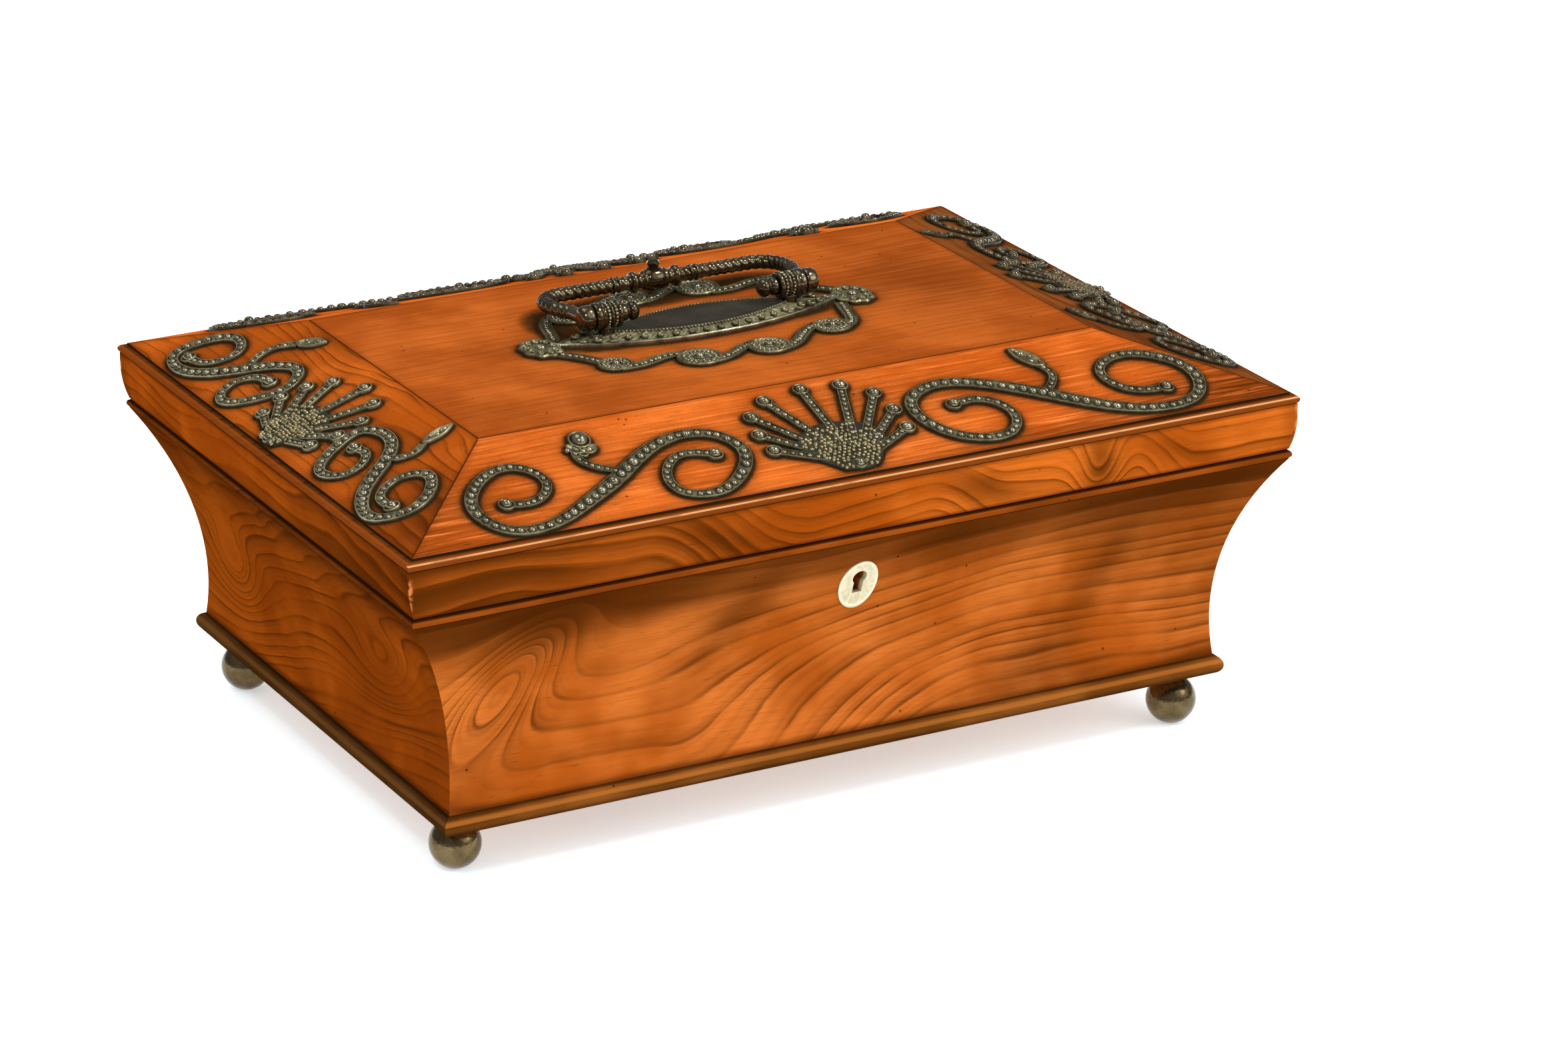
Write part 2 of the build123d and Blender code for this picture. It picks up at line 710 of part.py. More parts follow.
def shell_face(tips, palm):
    """A fan of tapering rays from a round palm, with a stud at each tip."""
    face = Pos(*palm) * Circle(shell_palm_radius)
    for tip in tips:
        dx, dy = tip[0] - palm[0], tip[1] - palm[1]
        length = hypot(dx, dy)
        base, end = shell_ray_base_width / 2, shell_ray_tip_width / 2
        ray = make_face(Polyline((0, -base), (length, -end), (length, end), (0, base), close=True))
        face += Pos(*palm) * Rot(0, 0, degrees(atan2(dy, dx))) * ray
        face += Pos(*tip) * Circle(shell_stud_radius)
    return face


def mirrored(points):
    """The left slope's distances run the other way along its edge than its plane's x does."""
    return [(-a, b) for a, b in points]


def on_slope(side, face):
    return extrude(slope_plane(side) * face, amount=mount_thickness)


def flipped_bud(bud):
    (a, b), half_width, half_length, lean = bud
    return (-a, b), half_width, half_length, lean


def lens(half_length, half_width):
    """A pointed oval between two arcs."""
    upper = ThreePointArc((-half_length, 0), (0, half_width), (half_length, 0))
    lower = ThreePointArc((half_length, 0), (0, -half_width), (-half_length, 0))
    return make_face([upper, lower])


def plate_outline():
    outline = lens(plate_half_length, plate_half_width)
    for side in (-1, 1):
        outline += Pos(side * palmette_centre, 0) * Ellipse(palmette_half_length, palmette_half_width)
    return outline


def handle_plate():
    """A pointed oval plate with a palmette at each end and a raised oval in its middle."""
    plate = Pos(0, 0, panel_top_z) * extrude(plate_outline(), amount=plate_thickness)
    rim = plate_rim * plate_half_length / plate_half_width
    low = Pos(0, 0, panel_top_z + plate_thickness) * lens(
        plate_half_length - rim, plate_half_width - plate_rim,
    )
    high = Pos(0, 0, panel_top_z + plate_thickness + plate_boss_rise) * lens(
        plate_boss_half_length, plate_boss_half_width,
    )
    plate += loft([low, high], ruled=True)
    for side in (-1, 1):
        hole = handle_post_radius + pivot_clearance
        plate -= rod((side * handle_post_x, 0, 0), "Z", hole, panel_top_z - 1, handle_axis_z)
    return plate


def ribbon(turn):
    """The undulating ribbon with its bossed roundels on one side of the handle plate."""
    face = Sketch()
    for points in ribbon_bands:
        face += band(points, ribbon_width, ribbon_width)
    for centre, radius in ribbon_roundels:
        face += Pos(*centre) * Circle(radius)
    solid = Pos(0, 0, panel_top_z) * extrude(face - plate_outline(), amount=ribbon_thickness)
    boss = Cone(
        roundel_boss_radius,
        roundel_boss_radius / 2,
        roundel_boss_height,
        align=(Align.CENTER, Align.CENTER, Align.MIN),
    )
    for (x, y), radius in ribbon_roundels:
        solid += Pos(x, y, panel_top_z + ribbon_thickness) * boss
    return Rot(0, 0, turn) * solid


def handle_post(side):
    """A pillar that carries a banded drum across its top and ends in a threaded stud."""
    x = side * handle_post_x
    half = handle_drum_length / 2
    drum = rod((x, 0, handle_axis_z), "X", handle_drum_radius, -half, half)
    for step in (-1, 0, 1):
        centre = step * handle_drum_length / 3
        band_radius = handle_drum_radius + handle_drum_band
        drum += rod((x, 0, handle_axis_z), "X", band_radius, centre - 0.8, centre + 0.8)
    stud_bottom = panel_bottom_z - handle_nut_height - handle_stud_spare
    post = rod((x, 0, 0), "Z", handle_post_radius, panel_top_z, handle_axis_z)
    post += rod((x, 0, 0), "Z", handle_stud_radius, stud_bottom, panel_top_z)
    bore = rod((x, 0, handle_axis_z), "X", pivot_radius + pivot_clearance, -half - 1, half + 1)
    return drum + post - bore


def pivot_screw(side):
    """A pin with an acorn head on the inner side, run through the drum into the bail's eye."""
    inner = handle_post_x - handle_drum_length / 2
    outer = inner + handle_drum_length + eye_gap + eye_thickness - eye_cap - eye_gap
    profile = Polyline(
        (0, 0), (pivot_head_radius * 0.8, 0), (pivot_head_radius * 0.8, 1.2), (pivot_head_radius, 1.2),
    )
    tip_radius = 1.0
    cup = ThreePointArc(
        (pivot_head_radius, 1.2), (pivot_head_radius * 0.92, 3.8), (tip_radius, pivot_head_length - 1.0),
    )
    end = Polyline(
        (tip_radius, pivot_head_length - 1.0),
        (tip_radius, pivot_head_length),
        (0, pivot_head_length),
        (0, 0),
    )
    head = revolve(section_face(profile, cup, end), Axis.Z)
    head = Pos(inner, 0, handle_axis_z) * Rot(0, -90, 0) * head
    pin = head + rod((0, 0, handle_axis_z), "X", pivot_radius, inner - 0.5, outer)
    return pin if side > 0 else mirror(pin, Plane.YZ)


def handle_nut(side):
    nut = extrude(
        RegularPolygon(handle_nut_across_flats / 2, 6, major_radius=False), amount=handle_nut_height,
    )
    nut -= rod((0, 0, 0), "Z", handle_stud_radius + thread_clearance, -1, handle_nut_height + 1)
    return Pos(side * handle_post_x, 0, panel_bottom_z - handle_nut_height) * nut


def handle_bail():
    """The swinging handle, lying back at rest: a round bar with a ball and knob in its middle."""
    eye_inner = handle_post_x + handle_drum_length / 2 + eye_gap
    eye_middle = eye_inner + eye_thickness / 2
    points = [
        (eye_middle, 0),
        (eye_middle, bail_neck_reach),
        (bail_half_width, bail_shoulder_reach),
        (bail_half_width, bail_reach),
    ]
    route = points + [(-x, y) for x, y in reversed(points)]
    radii = [bail_neck_radius, bail_neck_radius, bail_corner_radius]
    path = FilletPolyline(*route, radius=radii + radii[::-1])
    section = Plane(origin=(eye_middle, 0, 0), z_dir=(0, 1, 0)) * Circle(bail_radius)
    bail = sweep(section, path=path)
    for side in (-1, 1):
        low, high = sorted((side * eye_inner, side * (eye_inner + eye_thickness)))
        bail += rod((0, 0, 0), "X", eye_radius, low, high)
        hole_end = eye_inner + eye_thickness - eye_cap
        low, high = sorted((side * (eye_inner - 1), side * hole_end))
        bail -= rod((0, 0, 0), "X", pivot_radius + pivot_clearance, low, high)
        collar = side * bail_ball_length / 2
        bail += rod((0, bail_reach, 0), "X", bail_collar_radius, collar - 1.1, collar + 1.1)
    bail += Pos(0, bail_reach, 0) * Sphere(bail_ball_radius)
    knob = Cone(
        bail_knob_radius,
        bail_knob_radius * 0.45,
        bail_knob_height,
        align=(Align.CENTER, Align.CENTER, Align.MIN),
    )
    bail += Pos(0, bail_reach, bail_ball_radius - 0.6) * knob
    return Pos(0, 0, handle_axis_z) * Rot(-bail_rest_tilt, 0, 0) * bail


def foot(x, y):
    """A turned ball with a collared neck and a threaded stud."""
    ball = Pos(0, 0, foot_centre_z) * Sphere(foot_ball_radius)
    ball &= block((-reach, -reach, 0), (reach, reach, reach))
    ball += rod((0, 0, 0), "Z", foot_neck_radius, foot_centre_z, base_bottom_z)
    ball += rod((0, 0, 0), "Z", foot_collar_radius, base_bottom_z - foot_collar_height, base_bottom_z)
    ball += rod((0, 0, 0), "Z", foot_stud_radius, base_bottom_z, base_bottom_z + foot_stud_length)
    return Pos(x, y, 0) * ball


def foot_places():
    x = lid_width / 2 - foot_inset_x
    y = lid_depth / 2 - foot_inset_y
    return {
        "front_left": (-x, -y + front_left_foot_step),
        "front_right": (x, -y),
        "back_left": (-x, y),
        "back_right": (x, y),
    }


def body_walls():
    walls = {side: mitred_strip(side, wall_section()) for side in side_frame}
    half_case = lock_case_width / 2
    half_plate = lock_plate_width / 2
    half_cover = half_case + lock_cover_margin
    room = block(
        (lock_x - half_case, lock_front_y, lock_bottom_z),
        (lock_x + half_case, lock_back_y + 1, body_top_z + 1),
    )
    room += block(
        (lock_x - half_plate, lock_front_y, lock_plate_bottom_z),
        (lock_x + half_plate, lock_back_y + 1, body_top_z + 1),
    )
    room += block(
        (lock_x - half_cover, lock_back_y - lock_wall, lock_bottom_z),
        (lock_x + half_cover, lock_back_y + 1, body_top_z),
    )
    room += keyhole(-lid_depth / 2, lock_front_y + 1)
    room += escutcheon_tool(
        escutcheon_width + 2 * escutcheon_fit,
        escutcheon_height + 2 * escutcheon_fit,
        escutcheon_thickness,
        8.0,
    )
    for x, z in lock_screw_places():
        room += screw_hole(x, lock_back_y, z, -1, screw_length, "Y")
    walls["front"] -= room
    walls["back"] -= hinge_room("lower")
    return walls


def bottom_board():
    half_x = lid_width / 2 - base_strip_inner_inset
    half_y = lid_depth / 2 - base_strip_inner_inset
    board = block((-half_x, -half_y, base_bottom_z), (half_x, half_y, body_bottom_z))
    for x, y in foot_places().values():
        hole = foot_stud_radius + thread_clearance
        board -= rod(
            (x, y, 0), "Z", hole, base_bottom_z - 1, base_bottom_z + foot_stud_length + thread_clearance,
        )
    return board


def lid_rails():
    rails = {}
    for side in side_frame:
        run = panel_inset_y if side in ("front", "back") else panel_inset_x
        rails[side] = mitred_strip(side, rail_section(run))
    half = lock_case_width / 2
    room = block(
        (lock_x - half, lock_front_y, lid_bottom_z - 1),
        (lock_x + half, lock_back_y + 1, lid_bottom_z + lock_plate_thickness),
    )
    for x in link_screw_places():
        room += screw_hole(x, lock_middle_y, lid_bottom_z, 1, screw_length)
    rails["front"] -= room
    rails["back"] -= hinge_room("upper")
    return {side: clear_of_neighbours(side, rail) for side, rail in rails.items()}


def clear_of_neighbours(side, strip):
    """The hips don't run at 45 degrees, so each strip's ends give way to the next boards."""
    for other in side_frame:
        if (other in ("front", "back")) != (side in ("front", "back")):
            strip -= slope_board(other)
    return strip


def centre_panel():
    panel = block((-panel_half_x, -panel_half_y, panel_bottom_z), (panel_half_x, panel_half_y, panel_top_z))
    for side in (-1, 1):
        panel -= rod(
            (side * handle_post_x, 0, 0),
            "Z",
            handle_stud_radius + thread_clearance,
            panel_bottom_z - 1,
            panel_top_z + 1,
        )
    return panel


def lining_board():
    half_x = well_half_x - lining_clearance
    half_y = well_half_y - lining_clearance
    low_z = lid_bottom_z + lining_board_height
    return block((-half_x, -half_y, low_z), (half_x, half_y, low_z + lining_board_thickness))


def lining_pad():
    """A thin padded panel under the lining board, fuller in its middle."""
    half_x = well_half_x - pad_margin
    half_y = well_half_y - pad_margin
    top_z = lid_bottom_z + lining_board_height
    edge = Rectangle(2 * half_x, 2 * half_y)
    upper = Pos(0, 0, top_z) * edge
    middle = Pos(0, 0, top_z - pad_thickness + pad_crown) * edge
    lower = Pos(0, 0, top_z - pad_thickness) * Rectangle(
        2 * half_x - 8 * pad_crown, 2 * half_y - 8 * pad_crown,
    )
    return loft([upper, middle], ruled=True) + loft([middle, lower], ruled=True)


def tray_half():
    return well_half_x - tray_clearance, well_half_y - tray_clearance


def tray_sides():
    half_x, half_y = tray_half()
    low_z = tray_bottom_z + tray_base_thickness
    high_z = tray_bottom_z + tray_height
    thick = tray_side_thickness
    long_sides = [
        block(
            (-half_x, side * half_y - (thick if side > 0 else 0), low_z),
            (half_x, side * half_y + (thick if side < 0 else 0), high_z),
        )
        for side in (-1, 1)
    ]
    short_sides = []
    hole_z = high_z - tray_finger_hole_drop - tray_finger_hole_height / 2
    for side in (-1, 1):
        low, high = sorted((side * half_x, side * (half_x - thick)))
        wall = block((low, -half_y + thick, low_z), (high, half_y - thick, high_z))
        slot = Plane.YZ * SlotOverall(tray_finger_hole_width, tray_finger_hole_height)
        wall -= Pos(side * half_x, 0, hole_z) * extrude(slot, amount=2 * thick, both=True)
        short_sides.append(wall)
    return long_sides + short_sides


def tray_dividers():
    """Two long dividers, and short ones across each of the three rows between them."""
    half_x, half_y = tray_half()
    low_z = tray_bottom_z + tray_base_thickness
    high_z = tray_bottom_z + tray_height - tray_divider_drop
    inner_x = half_x - tray_side_thickness
    inner_y = half_y - tray_side_thickness
    thick = tray_divider_thickness
    row = tray_middle_width / 2
    column = tray_middle_length / 2
    pieces = []
    for side in (-1, 1):
        low, high = sorted((side * row, side * (row + thick)))
        pieces.append(block((-inner_x, low, low_z), (inner_x, high, high_z)))
        left, right = sorted((side * column, side * (column + thick)))
        for start, end in ((-inner_y, -row - thick), (-row, row), (row + thick, inner_y)):
            pieces.append(block((left, start, low_z), (right, end, high_z)))
    return pieces


def pincushion():
    """A stuffed cushion in the tray's middle compartment, domed on top."""
    half_x = tray_middle_length / 2 - cushion_clearance
    half_y = tray_middle_width / 2 - cushion_clearance
    low_z = tray_bottom_z + tray_base_thickness
    edge = [
        (low_z, cushion_waist),
        (low_z + cushion_height * 0.55, 0.0),
        (low_z + cushion_height * 0.85, 5.0),
        (low_z + cushion_height, 14.0),
    ]
    layers = [
        Pos(0, 0, z) * RectangleRounded(2 * (half_x - inset), 2 * (half_y - inset), 4.0)
        for z, inset in edge
    ]
    cushion = Part()
    for lower, upper in zip(layers, layers[1:]):
        cushion += loft([lower, upper], ruled=True)
    return cushion


def floor_lining():
    half_x = well_half_x - floor_lining_clearance
    half_y = well_half_y - floor_lining_clearance
    top_z = body_bottom_z + floor_lining_thickness
    return block((-half_x, -half_y, body_bottom_z), (half_x, half_y, top_z))


def tray_rests():
    low_z = body_bottom_z + floor_lining_thickness
    section = section_face(
        Polyline(
            (wall_inner_inset, low_z),
            (wall_inner_inset + tray_rest_thickness, low_z),
            (wall_inner_inset + tray_rest_thickness, low_z + tray_rest_height),
            (wall_inner_inset, low_z + tray_rest_height),
            close=True,
        )
    )
    return [mitred_strip(side, section) for side in side_frame]


os.makedirs("parts", exist_ok=True)

# Body
for side, wall in body_walls().items():
    make(f"body_{side}_panel", wall)
make("bottom_board", bottom_board())
base_section = nosed_section(base_nose_inset, base_strip_inner_inset, base_bottom_z, body_bottom_z)
for side in side_frame:
    make(f"base_moulding_{side}", mitred_strip(side, base_section))
bead_section = nosed_section(
    body_bead_inset, body_bead_inset + body_bead_depth, body_top_z - body_bead_height, body_top_z,
)
body_beads = {side: mitred_strip(side, bead_section) for side in side_frame}
body_beads["back"] -= hinge_room("lower")
make("body_edge_beads", *body_beads.values())
for corner, place in foot_places().items():
    make(f"foot_{corner}", foot(*place))
make("well_floor_lining", floor_lining())
make("tray_rest_strips", *tray_rests())

# Lock
make("keyhole_escutcheon", escutcheon())
make("lock_case", lock_case())
make("lock_cover", lock_cover())
make("lock_bolt", lock_bolt())
make(
    "lock_key_pin",
    rod(
        (lock_x, 0, keyhole_z), "Y", key_pin_radius - 2 * screw_clearance,
        lock_back_y - key_pin_reach, lock_back_y,
    ),
)
make("lock_spring", lock_spring())
make("lock_screws", *[screw(x, lock_back_y, z, -1, screw_length, "Y") for x, z in lock_screw_places()])

# Hinges
make("hinge_lower_leaves", *[hinge_leaf(centre, "lower") for centre in hinge_centres()])
make("hinge_upper_leaves", *[hinge_leaf(centre, "upper") for centre in hinge_centres()])
hinge_half = hinge_length / 2
make("hinge_pins", *[
    rod((x, hinge_axis_y, hinge_axis_z), "X", hinge_pin_radius, -hinge_half, hinge_half)
    for x in hinge_centres()
])
lower_places = [place for centre in hinge_centres() for place in hinge_screw_places(centre)]
make("hinge_lower_screws", *[screw(x, y, body_top_z, -1, hinge_screw_length) for x, y in lower_places])
make("hinge_upper_screws", *[screw(x, y, lid_bottom_z, 1, hinge_screw_length) for x, y in lower_places])

# Lid
for side, rail in lid_rails().items():
    make(f"lid_{side}_rail", rail)
for side in side_frame:
    make(f"lid_{side}_slope", slope_board(side))
make("lid_centre_panel", centre_panel())
lid_bead_section = nosed_section(0, lid_bead_depth, rail_top_z, lid_edge_z)
lid_beads = {side: mitred_strip(side, lid_bead_section) for side in side_frame}
make("lid_edge_beads", *[clear_of_neighbours(side, bead) for side, bead in lid_beads.items()])
make("lid_lining_board", lining_board())
make("lid_lining_pad", lining_pad())
make("lock_link_plate", *link_plate())
make("link_plate_screws", *[
    screw(x, lock_middle_y, lid_bottom_z, 1, screw_length)
    for x in link_screw_places()
])

# Steel mounts
half_turn = Rot(0, 0, 180)
front_scrolls = [
    on_slope("front", scroll_face(front_left_scroll, front_left_stem, front_left_bud)),
    on_slope("front", scroll_face(front_right_scroll, front_right_stem, front_right_bud)),
]
left_scrolls = [
    on_slope(
        "left",
        scroll_face(mirrored(left_front_scroll), mirrored(left_front_stem), flipped_bud(left_front_bud)),
    ),
    on_slope(
        "left", scroll_face(mirrored(left_back_scroll), mirrored(left_back_stem), flipped_bud(left_back_bud)),
    ),
]
front_shell = on_slope("front", shell_face(front_shell_tips, front_shell_palm))
left_shell = on_slope(
    "left", shell_face(mirrored(left_shell_tips), (-left_shell_palm[0], left_shell_palm[1])),
)
make("scroll_mounts_front", *front_scrolls)
make("scroll_mounts_back", *[half_turn * scroll for scroll in front_scrolls])
make("scroll_mounts_left", *left_scrolls)
make("scroll_mounts_right", *[half_turn * scroll for scroll in left_scrolls])
make("shell_mount_front", front_shell)
make("shell_mount_back", half_turn * front_shell)
make("shell_mount_left", left_shell)
make("shell_mount_right", half_turn * left_shell)

# Handle
make("handle_plate", handle_plate())
make("handle_ribbons", ribbon(0), ribbon(180))
make("handle_posts", handle_post(-1), handle_post(1))
make("handle_pivot_screws", pivot_screw(-1), pivot_screw(1))
make("handle_nuts", handle_nut(-1), handle_nut(1))
make("handle_bail", handle_bail())

# Tray
tray_half_x, tray_half_y = tray_half()
tray_base = block(
    (-tray_half_x, -tray_half_y, tray_bottom_z),
    (tray_half_x, tray_half_y, tray_bottom_z + tray_base_thickness),
)
make("tray_base", tray_base)
make("tray_sides", *tray_sides())
make("tray_dividers", *tray_dividers())
make("pincushion", pincushion())
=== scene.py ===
"""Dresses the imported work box: figured wood, studded steel mounts, a twisted handle and soft linings."""
import json
import random
from math import asin, cos, exp, hypot, pi, radians, sin, tan

import bpy
from mathutils import Matrix, Vector


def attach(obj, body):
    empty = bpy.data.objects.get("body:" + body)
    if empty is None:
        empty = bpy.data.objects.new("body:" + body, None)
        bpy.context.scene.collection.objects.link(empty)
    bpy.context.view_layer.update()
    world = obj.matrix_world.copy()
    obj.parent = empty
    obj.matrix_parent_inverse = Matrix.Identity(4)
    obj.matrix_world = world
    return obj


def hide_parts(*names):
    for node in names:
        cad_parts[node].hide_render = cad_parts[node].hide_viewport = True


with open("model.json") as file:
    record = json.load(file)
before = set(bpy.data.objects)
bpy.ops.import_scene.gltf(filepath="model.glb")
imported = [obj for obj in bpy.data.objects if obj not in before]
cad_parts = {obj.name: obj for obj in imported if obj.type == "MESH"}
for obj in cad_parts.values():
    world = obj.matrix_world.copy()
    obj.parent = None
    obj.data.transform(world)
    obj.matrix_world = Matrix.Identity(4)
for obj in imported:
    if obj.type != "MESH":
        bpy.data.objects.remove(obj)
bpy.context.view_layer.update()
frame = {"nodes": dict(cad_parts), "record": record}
nodes = frame["nodes"]
MM = 0.001

# Sizes of the box in millimetres
half_x, half_y = 150, 112.5
inset_x, inset_y, rise = 45.5, 49.7, 15.1
base_foot_z, base_crest_z, base_top_z, figure_foot_z = 18, 22.6, 24.4, 25.0
body_top_z, rail_foot_z, rail_head_z = 94.8, 95.2, 110.4
edge_z, panel_z, axis_z = 112.9, 128, 136.0

random.seed(7)


# Node helpers

class Wire:
    """The output of a node, to reckon with as with a number."""

    def __init__(self, nodes, socket):
        self.nodes, self.socket = nodes, socket

    def __add__(self, other):
        return self.nodes.math("ADD", self, other)

    def __sub__(self, other):
        return self.nodes.math("SUBTRACT", self, other)

    def __rsub__(self, other):
        return self.nodes.math("SUBTRACT", other, self)

    def __mul__(self, other):
        return self.nodes.math("MULTIPLY", self, other)

    def __truediv__(self, other):
        return self.nodes.math("DIVIDE", self, other)

    def __pow__(self, other):
        return self.nodes.math("POWER", self, other)

    def __abs__(self):
        return self.nodes.math("ABSOLUTE", self)

    __radd__, __rmul__ = __add__, __mul__


class Nodes:
    """A node tree with helpers that add one node each and return its output."""

    def __init__(self, owner):
        owner.use_nodes = True
        self.tree = owner.node_tree

    def plug(self, node, inputs):
        for key, value in inputs.items():
            if isinstance(value, Wire):
                self.tree.links.new(value.socket, node.inputs[key])
            else:
                node.inputs[key].default_value = value
        return node

    def node(self, kind, inputs, output=0, **settings):
        node = self.tree.nodes.new("ShaderNode" + kind)
        for key, value in settings.items():
            setattr(node, key, value)
        return Wire(self, self.plug(node, inputs).outputs[output])

    def math(self, operation, a, b=0):
        return self.node("Math", {0: a, 1: b}, operation=operation)

    def vector(self, operation, a, key, b):
        return self.node("VectorMath", {0: a, key: b}, operation=operation)

    def join(self, x, y, z):
        return self.node("CombineXYZ", {0: x, 1: y, 2: z})

    def noise(self, vector, scale=1, detail=2, roughness=0.5, distortion=0):
        inputs = {"Vector": vector, "Scale": scale, "Detail": detail, "Roughness": roughness}
        return self.node("TexNoise", {**inputs, "Distortion": distortion})

    def spread(self, value, low, high, to_low=0, to_high=1):
        """A smooth step from one level to another."""
        inputs = {"Value": value, "From Min": low, "From Max": high, "To Min": to_low, "To Max": to_high}
        return self.node("MapRange", inputs, interpolation_type="SMOOTHSTEP")

    def shade(self, colour, tone, value, low, high, to_low, to_high):
        """Lays a tone over a colour, by an amount that changes as a value goes from low to high."""
        return self.mix(self.spread(value, low, high, to_low, to_high), colour, tone)

    def mix(self, amount, a, b):
        a, b = [x if isinstance(x, Wire) else (*x, 1) for x in (a, b)]
        return self.node("Mix", {0: amount, 6: a, 7: b}, 2, data_type="RGBA")

    def bump(self, height, strength, distance, **normal):
        return self.node("Bump", {"Height": height, "Strength": strength, "Distance": distance, **normal})

    def occlusion(self, distance):
        return self.node("AmbientOcclusion", {"Distance": distance}, "AO", samples=8)


class Shader(Nodes):
    """A material's nodes, with places on the object in millimetres."""

    def __init__(self, name):
        self.mat = bpy.data.materials.new(name)
        super().__init__(self.mat)
        self.place = self.vector("SCALE", self.node("TexCoord", {}, "Object"), "Scale", 1 / MM)
        self.x, self.y, self.z = (self.node("SeparateXYZ", {0: self.place}, axis) for axis in "XYZ")

    def finish(self, **inputs):
        """Fills the sockets of the shader itself."""
        inputs = {key.replace("_", " "): value for key, value in inputs.items()}
        self.plug(self.tree.nodes["Principled BSDF"], inputs)
        return self.mat


def srgb(red, green, blue):
    """A colour picked on a screen, as linear light."""
    shares = (red / 255, green / 255, blue / 255)
    return tuple(((c + 0.055) / 1.055) ** 2.4 if c > 0.04 else c / 12.92 for c in shares)


def paler(colour, gain, lift=0):
    return tuple(min(1, gain * c + lift) for c in colour)


def wood(name, along, across, tones, pitch, warp, seed, marks=None, slant=(), fan=None, eyes=(), shades=(),
         top_shade=None, lines=0.5, bands=0.45, streaks=0.45, flecks=0.5, shine=0, rough=0.42):
    """Polished wood whose growth rings are the contours of a warped field over one face.

    Eyes and shades are tilted ovals: (place along, place across, half width, half height, tilt, strength).
    A fan is (top, gain at its left, centre, lean, width, widening), a slant (start, end, rise).
    """
    light, mid, dark = [srgb(*tone) for tone in tones]
    s = Shader(name)
    axes = {"X": s.x, "Y": s.y, "Z": s.z}
    u, v = axes.pop(along), axes.pop(across)
    (depth,) = axes.values()

    def hill(centre_u, centre_v, wide, tall, tilt):
        du, dv = u - centre_u, v - centre_v
        a = du * (cos(tilt) / wide) + dv * (sin(tilt) / wide)
        b = dv * (cos(tilt) / tall) - du * (sin(tilt) / tall)
        return s.math("EXPONENT", (a * a + b * b) * -1)

    # The field: a board's height or a fan of arches, warped, with an eye where a branch grew
    flow = s.join(0.012 * u, 0.03 * v, 0.01 * depth + seed)
    swell = 4.0 * warp * (s.noise(flow, 1, 1, 0.45) - 0.5)
    ripple = 0.45 * warp * (s.noise(s.join(0.05 * u, 0.12 * v, 0.1 * depth + seed)) - 0.5)
    level = v
    if fan:
        top, gain, centre, lean, width, widening = fan
        height = v - figure_foot_z
        place = (u - (centre - lean * height)) / (width + widening * height)
        level = (top - v) * s.spread(place, -0.5, 0.5, gain, 1)
    field = level + swell + ripple + 0.35 * depth
    for start, end, height in slant:
        field = field + s.spread(u, start, end, 0, height)
    for *where, height in eyes:
        field = field + height * hill(*where)

    # Rings and the fine lines between them
    turns = field / pitch + 3.0 * s.noise(s.join(0.07 * field, seed, 0))
    # FRACT is fed whole numbers more than it needs, so that no place falls below zero
    ring = s.math("FRACT", turns + 200)
    fine = s.math("FRACT", 2.63 * turns + 500)
    strength = s.spread(s.noise(s.vector("SCALE", flow, "Scale", 2.3), 1, 1), 0.32, 0.66, 0.3, 1)
    band = ring ** 1.6 * s.spread(ring, 0.84, 1, 1, 0)
    line = s.spread(ring, 0.7, 0.88) * s.spread(ring, 0.88, 0.97, 1, 0)
    thread = s.spread(fine, 0.35, 0.85) * s.spread(fine, 0.85, 1, 1, 0)
    fibre = s.noise(s.join(0.05 * u, 1.3 * v, 1.3 * depth), 1, 4, 0.7)
    fleck = s.spread(s.noise(s.join(0.16 * u, 3.2 * v, 3.2 * depth), 1, 1), 0.66, 0.8)
    cloud = s.noise(s.vector("ADD", s.place, 1, (40 * seed, 0, 0)), 0.022, 3, 0.6)

    colour = s.mix(s.spread(cloud, 0.36, 0.64), mid, light)
    colour = s.shade(colour, mid, fibre, 0.35, 0.75, 0, streaks)
    for mark, amount in ((band, bands), (line, lines), (thread, 0.3 * bands)):
        colour = s.mix(mark * strength * amount, colour, dark)
    colour = s.mix(fleck * flecks, colour, dark)
    # shades: dark patches of the wood itself, and painted shade, as high on the body panels under the lid
    for *where, amount in shades:
        edge = hill(*where) * s.spread(ring + cloud, 0.4, 1.4, 0.75, 1.15)
        colour = s.mix(edge * amount, colour, dark)
    # painted sheen: lighter streaks along the grain stand in for the gleam of the polish
    if shine:
        streak = s.noise(s.join(0.035 * u, 0.9 * v, 0.9 * depth), 1, 3, 0.6)
        colour = s.shade(colour, paler(light, 1.3, 0.012), streak, 0.5, 0.74, 0, shine)
    # painted shade: darker towards the top of a body panel, where the lid overhangs it
    if top_shade:
        low, high, amount = top_shade
        patch = s.noise(s.join(0.022 * u, 0.01 * v, seed))
        colour = s.shade(colour, dark, 26.0 * (patch - 0.5) + v, low, high, 0, amount)
    pits = s.node("TexVoronoi", {"Vector": s.vector("ADD", s.place, 1, (seed, 0, 0)), "Scale": 0.09})
    colour = s.shade(colour, srgb(42, 20, 6), pits, 0.028, 0.05, 0.8, 0)
    if marks:
        colour = marks(s, colour, light, dark)
    grain = s.bump(fibre, 0.1, 0.0002)
    uneven = s.bump(s.noise(s.place, 0.03), 0.12, 0.0015, Normal=grain)
    roughness = s.spread(fibre, 0.3, 0.8, rough - 0.05, rough + 0.09)
    return s.finish(Base_Color=colour, Roughness=roughness, Normal=uneven, Specular_IOR_Level=0)


